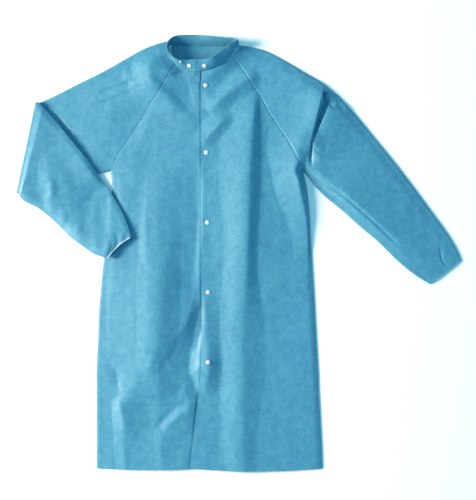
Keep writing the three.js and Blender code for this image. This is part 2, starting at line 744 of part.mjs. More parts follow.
const leftTube = sampleAll(LEFT_TUBE, UPPER_STEPS).map((row) => tubeRow(row, upperZ, flatZ));
const foldLine = LEFT_TUBE.at(-1);
const away = plan(foldLine.lowerY - foldLine.upperY, foldLine.upperX - foldLine.lowerX).normalize();
const foldedSleeve = [
  ...sampleAll(LEFT_RAGLAN, RAGLAN_STEPS).map(raglanRow),
  ...leftTube,
  ...turnRows(leftTube.at(-1), away),
  ...FOLDED_ROWS.map((row) => tubeRow(row, restZ, foldedTopZ)),
];
add("sleeve_folded", wall(foldedSleeve, CLOTH), NONWOVEN);

// ---- Collar -------------------------------------------------------------------------------------

// The band leans from its seam to its free edge, as high as its width allows.
function collarRow(row) {
  const seam = plan(row.seamX, row.seamY);
  const edge = plan(row.edgeX, row.edgeY);
  const lean = Math.min(seam.distanceTo(edge), BAND_WIDTH - 2);
  const height = Math.sqrt(BAND_WIDTH ** 2 - lean ** 2);
  const under = mix(BACK_Z, upperZ(seam.x, seam.y), row.layer);
  const base = under + CLOTH / 2 + SEAM + (BAND / 2) * (lean / BAND_WIDTH) + row.lift;
  const out = edge.clone().sub(seam).normalize();
  return [0, 0.33, 0.67, 1].map((share) => {
    const bow = BAND_BOW * Math.sin(Math.PI * share);
    const point = seam.clone().lerp(edge, share).addScaledVector(out, (-bow * height) / BAND_WIDTH);
    return lift(point, base + height * share + (bow * lean) / BAND_WIDTH);
  });
}

const collar = sampleAll(COLLAR, COLLAR_STEPS).map(collarRow);
add("collar", wall(collar, BAND), NONWOVEN);

// ---- Elastics -----------------------------------------------------------------------------------

// A strip that lies beside the end of a sleeve, made from the points of its last rows, moved off the
// cloth.
function elasticStrip(sleeve, first, last, way) {
  const rows = sleeve.slice(-2);
  const normals = gridNormals(rows);
  const off = way * (CLOTH / 2 + SEAM + ELASTIC_THICK / 2);
  const apart = rows[0][first].distanceTo(rows[1][first]);
  const strip = [ELASTIC_INSET + ELASTIC_WIDTH, ELASTIC_INSET].map((inset) => {
    const share = 1 - inset / apart;
    return rows[0].slice(first, last).map((point, j) => {
      const normal = normals[0][first + j].clone().lerp(normals[1][first + j], share).normalize();
      return point.clone().lerp(rows[1][first + j], share).addScaledVector(normal, off);
    });
  });
  return wall(strip, ELASTIC_THICK);
}

// On the folded sleeve the elastic shows on the layer that is turned up. On the other it is inside, on
// the back.
const BACK_FIRST = TOP_COLUMNS + EDGE_ANGLES.length;
const BACK_END = BACK_FIRST + BACK_COLUMNS;
add("elastic_folded", elasticStrip(foldedSleeve, BACK_FIRST - 1, BACK_END, -1), ELASTIC);
add("elastic_straight", elasticStrip(straightSleeve, BACK_FIRST, BACK_END - 1, 1), ELASTIC);

// ---- Snaps --------------------------------------------------------------------------------------

// Height of a grid's faces above a point of the table.
function gridHeight(rows, x, y) {
  for (let i = 0; i + 1 < rows.length; i += 1) {
    for (let j = 0; j + 1 < rows[i].length; j += 1) {
      const [first, second] = [rows[i][j], rows[i + 1][j + 1]];
      for (const [a, b, c] of [[first, rows[i][j + 1], second], [first, second, rows[i + 1][j]]]) {
        const area = (b.x - a.x) * (c.y - a.y) - (c.x - a.x) * (b.y - a.y);
        const u = ((x - a.x) * (c.y - a.y) - (c.x - a.x) * (y - a.y)) / area;
        const v = ((b.x - a.x) * (y - a.y) - (x - a.x) * (b.y - a.y)) / area;
        if (u >= 0 && v >= 0 && u + v <= 1) {
          return a.z + u * (b.z - a.z) + v * (c.z - a.z);
        }
      }
    }
  }
  throw new Error("there is no cloth at that place");
}

// The cap of a snap: a low dome with a rolled rim, its base in the plane of its own origin.
function snapCap(radius) {
  const profile = CAP_PROFILE.map(({ out, up }) => new THREE.Vector2(out * radius, up * SNAP_HEIGHT));
  return new THREE.LatheGeometry(profile, CAP_SIDES).rotateX(Math.PI / 2);
}

// A snap square to the cloth at its place, just clear of every point of cloth under its rim.
function addSnap(name, radius, centre, normal, cloth) {
  const climb = Math.max(...cloth.map((point) => point.clone().sub(centre).dot(normal)));
  const mesh = add(name, snapCap(radius), SNAP);
  mesh.quaternion.setFromUnitVectors(new THREE.Vector3(0, 0, 1), normal);
  mesh.position.copy(centre).addScaledVector(normal, climb + SEAM);
}

const RIM_ANGLES = Array.from({ length: RIM_STEPS }, (_, i) => (2 * Math.PI * i) / RIM_STEPS);
FRONT_SNAPS.forEach(({ x, y }, i) => {
  const cloth = RIM_ANGLES.map((angle) => {
    const px = x + SNAP_RADIUS * Math.cos(angle);
    const py = y + SNAP_RADIUS * Math.sin(angle);
    return new THREE.Vector3(px, py, gridHeight(rightFront, px, py));
  });
  const east = cloth[0].clone().sub(cloth[RIM_STEPS / 2]);
  const north = cloth[RIM_STEPS / 4].clone().sub(cloth[(3 * RIM_STEPS) / 4]);
  const normal = east.cross(north).normalize();
  const spot = new THREE.Vector3(x, y, gridHeight(rightFront, x, y));
  const centre = spot.addScaledVector(normal, CLOTH / 2);
  const upper = cloth.map((point) => point.clone().addScaledVector(normal, CLOTH / 2));
  addSnap(`snap_front_${i + 1}`, SNAP_RADIUS, centre, normal, [centre, ...upper]);
});

// A point of the collar band at a share of its length and of its width.
function onCollar(along, up) {
  const place = along * COLLAR_STEPS;
  const i = Math.min(Math.floor(place), COLLAR_STEPS - 1);
  const width = collar[0].length - 1;
  const j = Math.min(Math.floor(up * width), width - 1);
  const low = collar[i][j].clone().lerp(collar[i + 1][j], place - i);
  const high = collar[i][j + 1].clone().lerp(collar[i + 1][j + 1], place - i);
  return low.lerp(high, up * width - j);
}

const COLLAR_STEP = 0.01; // share of the collar to each side of a snap over which its slope is taken
COLLAR_SNAPS.forEach(({ name, along, up, radius }) => {
  const lengthwise = onCollar(along + COLLAR_STEP, up).sub(onCollar(along - COLLAR_STEP, up));
  const upward = onCollar(along, up + COLLAR_STEP).sub(onCollar(along, up - COLLAR_STEP));
  const normal = upward.clone().cross(lengthwise).normalize();
  const centre = onCollar(along, up).addScaledVector(normal, BAND / 2);
  const shareAlong = (radius * 2 * COLLAR_STEP) / lengthwise.length();
  const shareUp = (radius * 2 * COLLAR_STEP) / upward.length();
  const cloth = RIM_ANGLES.map((angle) => {
    const point = onCollar(along + shareAlong * Math.cos(angle), up + shareUp * Math.sin(angle));
    return point.addScaledVector(normal, BAND / 2);
  });
  addSnap(name, radius, centre, normal, cloth);
});

// ---- Placing ------------------------------------------------------------------------------------

// The origin goes to the middle of the whole outline, on the table.
const outline = new THREE.Box3().setFromObject(frock);
const middle = outline.getCenter(new THREE.Vector3());
frock.position.set(-middle.x, -middle.y, -outline.min.z);

const group = new THREE.Group();
group.add(frock);

export default group;
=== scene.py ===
import math
import bpy
import numpy as np
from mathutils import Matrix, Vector


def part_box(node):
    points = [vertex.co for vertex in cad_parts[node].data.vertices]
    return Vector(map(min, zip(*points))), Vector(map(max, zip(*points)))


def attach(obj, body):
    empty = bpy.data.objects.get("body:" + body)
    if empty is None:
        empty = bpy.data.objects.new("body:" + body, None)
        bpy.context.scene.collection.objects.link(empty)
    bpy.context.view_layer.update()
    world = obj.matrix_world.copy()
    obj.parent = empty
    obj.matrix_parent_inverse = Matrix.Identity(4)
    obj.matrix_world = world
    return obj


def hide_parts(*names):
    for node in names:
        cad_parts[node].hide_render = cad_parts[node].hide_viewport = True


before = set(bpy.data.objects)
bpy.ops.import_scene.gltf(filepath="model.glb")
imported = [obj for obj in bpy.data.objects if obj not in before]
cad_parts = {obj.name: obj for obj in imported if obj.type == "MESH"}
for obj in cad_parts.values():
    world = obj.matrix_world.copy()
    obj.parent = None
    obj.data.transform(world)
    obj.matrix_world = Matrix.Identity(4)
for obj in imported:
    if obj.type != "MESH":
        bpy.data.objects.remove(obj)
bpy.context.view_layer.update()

# A disposable frock of nonwoven cloth, laid flat with its front up and one sleeve folded back over it.
#
# Shapes are worked out in the pattern frame, in millimetres: X runs across from about the closing edge, Y up
# from the hem and Z up from the table. "Left" and "right" are those of someone looking down at the front.
# Each piece of cloth is a fine grid on the middle of its wall, which is then given a thickness.

# ---- Sizes ----

MM = 0.001
TINY = 1e-9

# Thicknesses, and the gap between pieces. An edge of a panel stands back from the line of its seam.
CLOTH = 0.5
BACK_CLOTH = 0.8
BAND = 1.3
WALL = 1.0  # one layer in the frame, which sets how far apart the layers lie
SEAM = 0.3
SEAM_SHIFT = 0.2

# Heights of the middle of a layer: on the table, on one other layer, where a sleeve turns round its edge,
# where it lies loose, and the lowest that a trough brings the upper layer and the under front.
BACK_Z = WALL / 2
EDGE_Z = BACK_Z + WALL + SEAM
TURN_Z = 3.0
LOOSE_Z = 5.0
LOW_Z = 2.6
UNDER_LOW_Z = 1.7

# How the upper layer climbs inside an edge: where that begins, the lengths of its quick turn and its slow
# rise, and the slow rise's share of the height.
EDGE_REACH = 1.75
EDGE_ROUND = 5.0
EDGE_EASE = 45.0
SLOW_SHARE = 0.6

# The part of the under front that the over front covers, how far it is pressed down, and over what length.
LAP_WIDTH = 28.0
LAP_DROP = 1.5
LAP_EASE = 2.5

# The collar band, the most that it leans over, and how far its middle bows out.
BAND_WIDTH = 30.0
BAND_LEAN = BAND_WIDTH - 2
BAND_BOW = 1.5

# The left sleeve turns about a level line, the more squarely the nearer TURN_SQUARE is to 0.
FOLD_AXIS_Z = 8.2
TURN_SQUARE = 0.3

# The part that is folded back rests on the body, sags over the armpit, lifts towards the cuff, and comes down
# to the table on the far side. Its upper layer lies higher by its loft.
REST_Z = 10.5
ARMPIT = (-240, 705)
ARMPIT_SAG = 4.5
ARMPIT_REACH = 45.0
CUFF_LIFT = 5.0
LIFT_START = 660
LIFT_EASE = 90
TABLE_Z = 0.8
REST_EASE = 170.0
FOLDED_EASE = 10.0
TUBE_LOFT = 2.0
LEAST_LOFT = 0.5

# ---- Curves ----


def table(names, rows):
    return {name: np.array([float(row[i]) for row in rows]) for i, name in enumerate(names)}


def even(steps):
    return np.linspace(0, 1, steps + 1)


def sample(rows, shares):
    """Every named column at shares of the way down a table, on a smooth curve through its rows."""
    shares = np.asarray(shares, float)
    last = len(next(iter(rows.values()))) - 1
    place = np.clip(shares, 0, 1) * last
    start = np.minimum(np.floor(place).astype(int), last - 1)
    t = place - start
    result = {}
    for name, values in rows.items():
        a, b, c, d = (values[np.clip(start + k, 0, last)] for k in (-1, 0, 1, 2))
        bend = 2 * a - 5 * b + 4 * c - d
        twist = 3 * (b - c) + d - a
        result[name] = b + 0.5 * t * (c - a + t * (bend + t * twist))
    return result


def smooth(t):
    s = np.clip(t, 0, 1)
    return s * s * (3 - 2 * s)


def mix(a, b, t):
    return a + (b - a) * t


# ---- Tables ----


# The raglan seams, from the neck to the underarm.
RAGLAN = ["shoulder_x", "shoulder_y", "front_x", "front_y", "back_x", "back_y", "bow"]
LEFT_RAGLAN = table(RAGLAN, [
    (-90, 1067, -70, 1008, -67, 1056, 6),
    (-118, 1059, -92, 971, -84, 1018, 3),
    (-152, 1045, -113, 934, -104, 978, 0),
    (-192, 1023, -134, 905, -128, 937, 0),
    (-232, 1000, -155, 868, -152, 892, 0),
    (-270, 980, -182, 827, -180, 842, 0),
    (-307, 962, -210, 785, -208, 791, 0),
    (-340, 945, -230, 742, -230, 742, 0),
])
RIGHT_RAGLAN = table(RAGLAN, [
    (96, 1057, 72, 1029, 50, 1054, 0),
    (125, 1051, 100, 995, 72, 1008, 0),
    (155, 1043, 125, 955, 97, 964, 0),
    (190, 1026, 146, 925, 124, 922, 0),
    (225, 1006, 167, 886, 150, 879, 0),
    (260, 985, 192, 848, 180, 838, 0),
    (290, 968, 222, 802, 212, 795, 0),
    (303, 959, 251, 742, 251, 742, 0),
])
CLOSING = table(["x", "y", "left_bow", "right_bow"], [
    (-2, 991, -2, -8),
    (-5, 957, -2, -4),
    (-5, 935, 0, -2),
    (-5, 905, 0, 0),
    (-5, 868, 0, 0),
    (-4, 827, 0, 0),
    (-4, 785, 0, 0),
    (-4, 742, 0, 0),
])
BODY = table(["y", "left", "closing", "right", "left_bow", "right_bow"], [
    (742, -230, -4, 251, 0, 0),
    (695, -226, -4, 261, 0, 0),
    (640, -232, -4, 267, 0, 0),
    (580, -240, -4, 270, 0, 0),
    (520, -247, -4, 273, 0, 0),
    (450, -254, -3, 277, 0, 0),
    (390, -259, -2, 280, 0, 0),
    (315, -262, -2, 284, 0, 0),
    (245, -265, -4, 288, 0, 0),
    (190, -265, -10, 290, 0, 0),
    (116, -265, -19, 294, 0, 0),
    (55, -265, -26, 297, -1, -3),
    (0, -265, -34, 299, -3, -7),
])
TUBE = ["upper_x", "upper_y", "lower_x", "lower_y", "seam"]
RIGHT_TUBE = table(TUBE, [
    (308, 957, 260, 727, 1),
    (337, 932, 280, 704, 6),
    (379, 886, 312, 673, 12),
    (428, 826, 350, 642, 15),
    (477, 766, 392, 604, 16),
    (523, 706, 435, 568, 16),
    (571, 641, 480, 524, 14),
    (611, 586, 516, 493, 11),
    (635, 545, 546, 472, 8),
    (645, 520, 567, 460, 5),
])
LEFT_TUBE = table(TUBE, [
    (-362, 934, -280, 731, 1),
    (-385, 923, -370, 709, 2),
    (-408, 913, -456, 685, 2),
])
FOLDED_TUBE = table(TUBE, [
    (-396, 901, -453, 676, 2),
    (-373, 876, -441, 665, 2),
    (-323, 816, -408, 648, 3),
    (-293, 779, -366, 614, 3),
    (-260, 734, -329, 577, 3),
    (-226, 685, -298, 554, 3),
    (-200, 641, -275, 538, 3),
    (-184, 603, -255, 530, 3),
    (-176, 577, -236, 524, 3),
])

# Folds of the upper layer. Each is walked along its crest, with its height there and how far its flanks reach
# to the left and right of the walker. A negative height is a trough. Round is the radius of the crest, and
# power says how the flanks fall: 1 straight to a sharp foot, more than 1 hollow.
PATH = ["x", "y", "height", "left", "right"]
STRETCH_STEPS = 5
CREASE_ROUND = 0.6
CREASE_POWER = 1.3


def fold(round_, power, *path):
    rows = sample(table(PATH, path), even(STRETCH_STEPS * (len(path) - 1)))
    return {"round": float(round_), "power": float(power), **rows}


def crease(height, reach, *places):
    """A thin pressed line through some places, which fades out at both ends."""
    heights = [0, *[height] * (len(places) - 2), 0]
    path = [(x, y, z, reach, reach) for (x, y), z in zip(places, heights)]
    return fold(CREASE_ROUND, CREASE_POWER, *path)


FOLDS = [
    # the fullness of the whole front
    fold(60, 1.5, (-15, -30, 2, 220, 260), (-5, 990, 3, 180, 220)),
    # the long ridge down the right front: its crest, and the wide slope to its right
    fold(8, 1.15, (100, -15, 3, 45, 34), (98, 95, 4.5, 48, 42), (98, 170, 6, 54, 50), (98, 245, 7, 58, 60),
         (99, 345, 7, 58, 60), (104, 420, 7.5, 58, 44), (108, 495, 8, 58, 30), (112, 595, 9, 62, 26),
         (114, 695, 9, 72, 32), (117, 760, 9, 78, 30), (121, 830, 8.5, 76, 26), (126, 885, 7, 60, 18),
         (128, 915, 4, 50, 16), (126, 940, 0, 30, 14)),
    fold(14, 1.3, (86, -15, 4, 44, 230), (84, 170, 3, 44, 220), (84, 345, 2.5, 44, 190),
         (88, 470, 4, 56, 180), (96, 600, 6, 80, 165), (108, 752, 5, 100, 110), (120, 850, 3, 90, 80),
         (134, 925, 0, 40, 50)),
    # the long ridge down the left front, which turns aside above the hem, and the ridge on its right flank
    fold(16, 1.05, (-214, 176, 1, 26, 16), (-192, 182, 5, 44, 30), (-166, 202, 8, 70, 60),
         (-148, 232, 10, 92, 96), (-138, 270, 12, 104, 118), (-134, 320, 12.5, 106, 124),
         (-134, 395, 12, 108, 124), (-136, 470, 9.5, 112, 124), (-144, 530, 6, 104, 130),
         (-160, 590, 3.5, 90, 150), (-172, 640, 2.5, 70, 160), (-176, 700, 2, 60, 160),
         (-172, 750, 1.5, 60, 140), (-164, 800, 0, 40, 100)),
    fold(5, 1.1, (-146, 228, 0, 26, 16), (-126, 270, 3.5, 44, 34), (-111, 320, 5, 54, 48),
         (-107, 395, 5.5, 58, 52), (-107, 470, 5, 58, 52), (-108, 570, 4, 50, 56), (-110, 640, 3.5, 40, 60),
         (-110, 700, 3, 36, 60), (-108, 760, 0, 30, 40)),
    # the long dip beside the closing edge, and a thin ridge further left
    fold(8, 1.15, (-26, 395, 0, 50, 20), (-28, 440, -3, 64, 20), (-26, 500, -3.5, 64, 20),
         (-18, 560, -3.5, 66, 16), (-14, 640, -3.5, 70, 14), (-14, 720, -3, 60, 14), (-20, 780, 0, 40, 12)),
    fold(3, 1.1, (-136, 490, 0, 16, 20), (-139, 550, 1.6, 20, 32), (-140, 630, 1.4, 20, 32),
         (-137, 700, 1, 18, 30), (-134, 750, 0, 14, 20)),
    # lower left: the ridge that falls straight to the hem, and the one nearer the closing edge
    fold(4, 1.1, (-192, -15, 4, 28, 72), (-194, 75, 4.5, 28, 72), (-195, 110, 7.5, 30, 66),
         (-203, 155, 7, 26, 60), (-212, 180, 0, 18, 14)),
    fold(3, 1.1, (-103, -15, 5, 80, 76), (-103, 60, 5, 76, 70), (-106, 95, 3, 50, 56),
         (-108, 140, 1.5, 40, 40), (-109, 190, 4, 44, 52), (-109, 235, 4, 40, 50), (-110, 285, 0, 30, 40)),
    # the diagonal streak that crosses towards the closing edge, and the trough on its left
    fold(3, 1.1, (-100, 92, 0.5, 18, 40), (-86, 106, 3, 20, 50), (-58, 132, 3.5, 22, 56),
         (-30, 155, 2.5, 18, 40), (-12, 168, 0, 14, 20)),
    fold(3, 1.2, (-112, 96, 0, 12, 16), (-104, 112, -2, 14, 18), (-76, 140, -1.4, 14, 20),
         (-40, 166, 0, 12, 16)),
    # the lit lozenge under the lowest snap, and the slope beyond it
    fold(4, 1.0, (2, 184, 0, 14, 20), (9, 205, 4, 30, 32), (14, 235, 8, 46, 34), (15, 262, 9.5, 50, 34),
         (13, 292, 7, 40, 36), (9, 322, 4, 18, 36), (8, 390, 3, 10, 34), (7, 450, 0, 8, 26)),
    # the chest: the upper of two ridges that run up from the closing edge
    fold(4, 1.2, (14, 888, 0, 40, 24), (38, 912, 6, 48, 30), (78, 946, 7, 50, 32), (116, 970, 6, 44, 30),
         (138, 988, 0, 30, 24)),
    # the dip below the right end of the collar
    fold(6, 1.2, (14, 930, 0, 30, 24), (36, 950, -4, 44, 26), (58, 974, -6, 50, 30), (84, 998, -6, 54, 34),
         (108, 1018, -3, 44, 30), (124, 1032, 0, 30, 20)),
    # the lower of the two ridges
    fold(4, 1.2, (-4, 798, 0, 30, 20), (8, 820, 4, 34, 22), (26, 842, 7, 36, 26), (46, 862, 7, 34, 26),
         (62, 877, 3, 26, 20), (72, 888, 0, 20, 14)),
    # the right side, below the armhole
    fold(5, 1.1, (264, 520, 0, 40, 20), (262, 590, 5, 44, 20), (252, 650, 11, 52, 20),
         (241, 700, 16, 62, 20), (236, 745, 17, 66, 30), (238, 790, 12, 80, 60), (246, 830, 6, 80, 60),
         (262, 870, 0, 60, 40)),
    # the neck: the lift to the right of the collar, and the trough round its left end
    fold(6, 1.3, (6, 968, 2, 60, 40), (30, 990, 7, 60, 44), (60, 1010, 8, 50, 50), (90, 1042, 5, 50, 50)),
    fold(6, 1.1, (-18, 994, 0, 20, 12), (-42, 1002, -6.5, 36, 20), (-62, 1016, -6.5, 34, 20),
         (-78, 1036, -5, 30, 20), (-84, 1062, -3, 24, 20)),
    # the ridge that leads from the chest past the left end of the collar, and a thinner one beside it
    fold(8, 1.1, (-50, 885, 0, 30, 40), (-80, 914, 3, 50, 60), (-110, 940, 6, 60, 84),
         (-128, 968, 10, 60, 100), (-130, 998, 11, 50, 90), (-122, 1034, 0, 40, 60)),
    fold(6, 1.2, (-10, 848, 0, 30, 14), (-60, 900, 2.5, 46, 18), (-110, 950, 3, 46, 20),
         (-140, 984, 0, 30, 14)),
]

# Troughs beside the closing edge, which only the under front has: below the collar, on the chest, beside the
# lowest snap, and down towards the hem.
UNDER_FOLDS = [
    fold(3, 1.1, (8, 905, 0, 20, 6), (8, 940, -4, 34, 6), (6, 975, -6, 40, 10), (3, 1000, -6.5, 42, 12),
         (0, 1030, 0, 40, 16)),
    fold(6, 1.2, (-40, 880, 0, 40, 30), (-36, 916, -3, 50, 34), (-34, 950, -4, 50, 34),
         (-44, 984, 0, 40, 30)),
    fold(3, 1.0, (-36, 230, 0, 20, 10), (-32, 260, -4, 50, 24), (-32, 290, -5, 56, 24),
         (-22, 320, -7, 40, 24), (-10, 350, -8, 32, 24), (-2, 385, -8, 30, 24), (2, 420, -4, 26, 20),
         (4, 480, 0, 20, 12)),
    fold(3, 1.0, (-30, 232, 0, 16, 8), (-20, 205, -4, 14, 26), (-10, 172, -4, 14, 26),
         (-14, 120, -2, 14, 22), (-24, 60, 0, 12, 16)),
]

# Folds of the right sleeve, of the left one above its turn, and of the part that is folded back.
SLEEVE_FOLDS = [
    # the right sleeve, highest above its underarm seam, the line of that seam, and a ridge at the shoulder
    fold(8, 1.2, (590, 496, 0, 50, 60), (530, 542, 5, 56, 100), (476, 586, 9, 54, 130),
         (422, 628, 12, 50, 150), (376, 670, 13, 44, 160), (332, 708, 11, 36, 165), (296, 736, 9, 26, 170),
         (278, 766, 10, 12, 170), (274, 795, 12, 10, 165), (284, 834, 13, 8, 150), (300, 874, 12, 6, 130),
         (316, 912, 8, 6, 100), (320, 934, 3, 6, 60)),
    fold(2, 1.1, (268, 729, 0, 3, 6), (305, 710, -2, 4, 7), (347, 685, -2.5, 4, 7), (416, 625, -2.5, 4, 7),
         (468, 577, -2, 4, 7), (492, 556, 0, 3, 6)),
    fold(3, 1.1, (368, 886, 0, 10, 12), (360, 898, 3.5, 12, 16), (354, 908, 3, 12, 14),
         (348, 918, 0, 8, 8)),
    # the sunken gutter of the left sleeve beside the folded part
    fold(3, 1.0, (-374, 892, 0, 8, 8), (-357, 868, -3, 9, 20), (-329, 834, -3.5, 10, 26),
         (-303, 804, -5, 20, 26), (-286, 786, -7, 24, 26), (-272, 766, -3, 12, 20), (-262, 752, 0, 8, 8)),
    # creases over the left shoulder, and the dip beside its seam
    fold(4, 1.1, (-285, 912, 0, 10, 10), (-250, 923, 1.5, 12, 10), (-200, 942, 1.5, 12, 10),
         (-150, 962, 0, 8, 8)),
    fold(3, 1.1, (-266, 946, 0, 8, 8), (-228, 956, 1.2, 9, 8), (-180, 974, 1.2, 9, 8),
         (-148, 986, 0, 8, 8)),
    fold(4, 1.1, (-196, 968, 0, 10, 12), (-188, 984, 2, 16, 14), (-182, 998, 0, 10, 10)),
    fold(6, 1.3, (-222, 770, 0, 40, 30), (-196, 808, -1.2, 60, 30), (-160, 862, -1.8, 60, 24),
         (-128, 916, 0, 40, 12)),
    # the lip of the right sleeve's pleat, the fullness of the left sleeve, and the rise to that lip
    fold(5, 1.4, (254, 765, 0, 40, 10), (272, 830, 5, 60, 10), (288, 892, 8, 70, 10), (297, 922, 8, 60, 10),
         (304, 950, 2, 30, 10)),
    fold(20, 1.5, (-300, 872, 0, 60, 70), (-240, 900, 2, 60, 70), (-182, 932, 3, 50, 60),
         (-132, 982, 0, 50, 60)),
    fold(10, 1.1, (262, 790, 0, 90, 12), (272, 830, 6, 120, 12), (288, 880, 9, 140, 12),
         (296, 930, 9, 150, 12), (300, 972, 8, 150, 12)),
]
FOLDED_FOLDS = [
    # ridges along the upper edge, across the middle and along the lower edge, and the dip before the cuff
    fold(4, 1.1, (-302, 796, 0, 8, 30), (-284, 770, 4, 8, 50), (-262, 738, 5, 8, 55), (-248, 715, 3, 8, 40),
         (-240, 700, 0, 8, 20)),
    fold(8, 1.1, (-384, 790, 0, 40, 20), (-380, 750, 4, 46, 30), (-378, 700, 5, 50, 30),
         (-372, 660, 3, 50, 20), (-366, 640, 0, 40, 16)),
    fold(10, 1.1, (-392, 690, 0, 80, 20), (-372, 655, 2, 110, 18), (-345, 622, 3.5, 110, 18),
         (-312, 592, 3, 80, 18), (-286, 566, 0, 50, 16)),
    fold(6, 1.2, (-240, 735, 0, 10, 30), (-244, 690, -2, 16, 60), (-246, 630, -3, 20, 70),
         (-244, 580, -2, 20, 50), (-240, 550, 0, 14, 30)),
    # the ridge along its turn, and two slight ones between there and the cuff
    fold(4, 1.3, (-453, 676, 5, 6, 60), (-425, 790, 5, 6, 60), (-396, 901, 4, 6, 50)),
    fold(4, 1.2, (-315, 590, 0, 16, 30), (-322, 622, 1.6, 22, 34), (-332, 680, 1.8, 28, 40),
         (-332, 735, 1.6, 24, 34), (-325, 770, 0, 16, 20)),
    fold(4, 1.2, (-258, 540, 1, 14, 30), (-266, 580, 1.6, 20, 44), (-268, 620, 1.6, 22, 46),
         (-262, 660, 1.4, 20, 40), (-258, 700, 0, 14, 20)),
    # crumples along its lower edge, and the fullness beside it
    fold(2, 1.1, (-352, 604, 0, 10, 10), (-344, 624, 1.4, 12, 14), (-350, 646, 1.2, 12, 14),
         (-362, 668, 0, 10, 10)),
    fold(2, 1.1, (-318, 582, 0, 10, 8), (-308, 596, 1.4, 12, 14), (-312, 614, 0, 10, 10)),
    fold(2, 1.1, (-384, 668, 0, 10, 8), (-372, 690, 1.8, 12, 14), (-378, 716, 1.4, 12, 12),
         (-388, 734, 0, 10, 10)),
    fold(3, 1.2, (-372, 742, 0, 16, 14), (-352, 728, 1.5, 16, 14), (-340, 712, 0, 14, 14)),
    fold(8, 1.1, (-446, 672, 1, 60, 10), (-396, 648, 1, 90, 10), (-356, 616, 1.2, 110, 10),
         (-318, 584, 1.2, 110, 10), (-290, 562, 1, 90, 10), (-258, 546, 0.5, 50, 10)),
    # the gathers of its cuff
    fold(2, 1.1, (-216, 592, 0, 8, 8), (-209, 562, -2.5, 7, 8), (-215, 540, -2, 7, 8)),
    fold(2, 1.1, (-190, 592, 0, 6, 8), (-188, 578, -2, 6, 8), (-186, 566, -1, 6, 6)),
    fold(3, 1.1, (-236, 580, 0, 8, 10), (-232, 556, 2, 8, 14), (-238, 534, 1.5, 8, 12)),
]

# Thin lines pressed into the cloth where it was folded in its package, and a crease beside the right cuff.
CREASES = [
    crease(0.7, 5, (-360, 788), (-250, 786), (-120, 782), (-8, 776)),
    crease(-0.7, 5, (4, 784), (60, 783), (140, 780), (238, 776)),
    crease(0.6, 5, (-255, 482), (-160, 478), (-60, 474)),
    crease(0.6, 5, (130, 396), (190, 394), (270, 392)),
    crease(-1.6, 5, (592, 554), (594, 536), (598, 520), (603, 511), (608, 508), (618, 502)),
    crease(0.8, 4, (-205, 170), (-150, 162), (-100, 164), (-18, 164), (60, 158)),
]

# The pleat across the top of the right sleeve, from its lip to its rim: how far each row lies beyond the lip,
# as a share of the mouth and as a length, and how far below the upper layer. Along the lip, the mouth opens
# from its start to its widest place and closes at its end, and the depth comes in PLEAT_QUICK times as fast.
PLEAT = table(["across", "beyond", "down"], [
    (0, 0.5, 0.4),
    (0, 1.2, 1.6),
    (0.12, 0, 3.4),
    (0.3, 0, 6),
    (0.6, 0, 14),
    (0.9, 1, 14),
    (1, 3.4, 8),
    (1, 3.6, 5),
    (1, 1, 3.4),
    (1, 0, 2),
    (1, 0.2, 0.7),
    (1, 1.2, 0.1),
])
PLEAT_MOUTH = 25.0
PLEAT_FLOOR = 2.2
PLEAT_QUICK = 3
PLEAT_START = 0.1
PLEAT_WIDEST = 0.82
PLEAT_END = 0.96
PLEAT_SKIP = 16  # rows of the tube that the pleat takes the place of

DITCH_ROUND = 0.8
DITCH_POWER = 1.2


def ditch(raglan, height, left, right):
    """A raglan seam of the front, pressed down into the cloth."""
    path = [(x, y, height, left, right) for x, y in zip(raglan["front_x"], raglan["front_y"])]
    return fold(DITCH_ROUND, DITCH_POWER, *path)


SEAM_DITCHES = [
    ditch(LEFT_RAGLAN, -0.5, 3.5, 3.5),
    ditch(RIGHT_RAGLAN, -0.9, 4, 2.5),
]

# ---- Heights ----


def nearest(px, py, x, y):
    """The point of a path nearest to each place: how far away, on which stretch, how far along it, and how
    squarely to its left, from -1 on the right to 1 on the left."""
    best = np.full(x.shape, np.inf)
    stretch = np.zeros(x.shape, int)
    along = np.zeros(x.shape)
    side = np.zeros(x.shape)
    for i in range(len(px) - 1):
        dx, dy = px[i + 1] - px[i], py[i + 1] - py[i]
        t = np.clip(((x - px[i]) * dx + (y - py[i]) * dy) / (dx * dx + dy * dy), 0, 1)
        away_x, away_y = x - px[i] - dx * t, y - py[i] - dy * t
        distance = np.hypot(away_x, away_y)
        closer = distance < best
        best = np.where(closer, distance, best)
        stretch = np.where(closer, i, stretch)
        along = np.where(closer, t, along)
        across = (dx * away_y - dy * away_x) / (math.hypot(dx, dy) * np.maximum(distance, TINY))
        side = np.where(closer, across, side)
    return best, stretch, along, side


def rise(one, x, y):
    """Height that one fold adds at each place: full along its crest, and fading out over its flanks."""
    margin = max(one["left"].max(), one["right"].max())
    near = ((x > one["x"].min() - margin) & (x < one["x"].max() + margin)
            & (y > one["y"].min() - margin) & (y < one["y"].max() + margin))
    height = np.zeros(x.shape)
    if not near.any():
        return height
    distance, stretch, t, side = nearest(one["x"], one["y"], x[near], y[near])
    at = {name: mix(one[name][stretch], one[name][stretch + 1], t) for name in ("height", "left", "right")}
    reach = mix(at["right"], at["left"], smooth((side + 1) / 2))
    share = (np.hypot(distance, one["round"]) - one["round"]) / (np.hypot(reach, one["round"]) - one["round"])
    height[near] = at["height"] * np.clip(1 - share, 0, 1) ** one["power"]
    return height


def rise_of_all(folds, x, y):
    return sum(rise(one, x, y) for one in folds)


NOISE_CELLS = 64
NOISE_START = 500.0


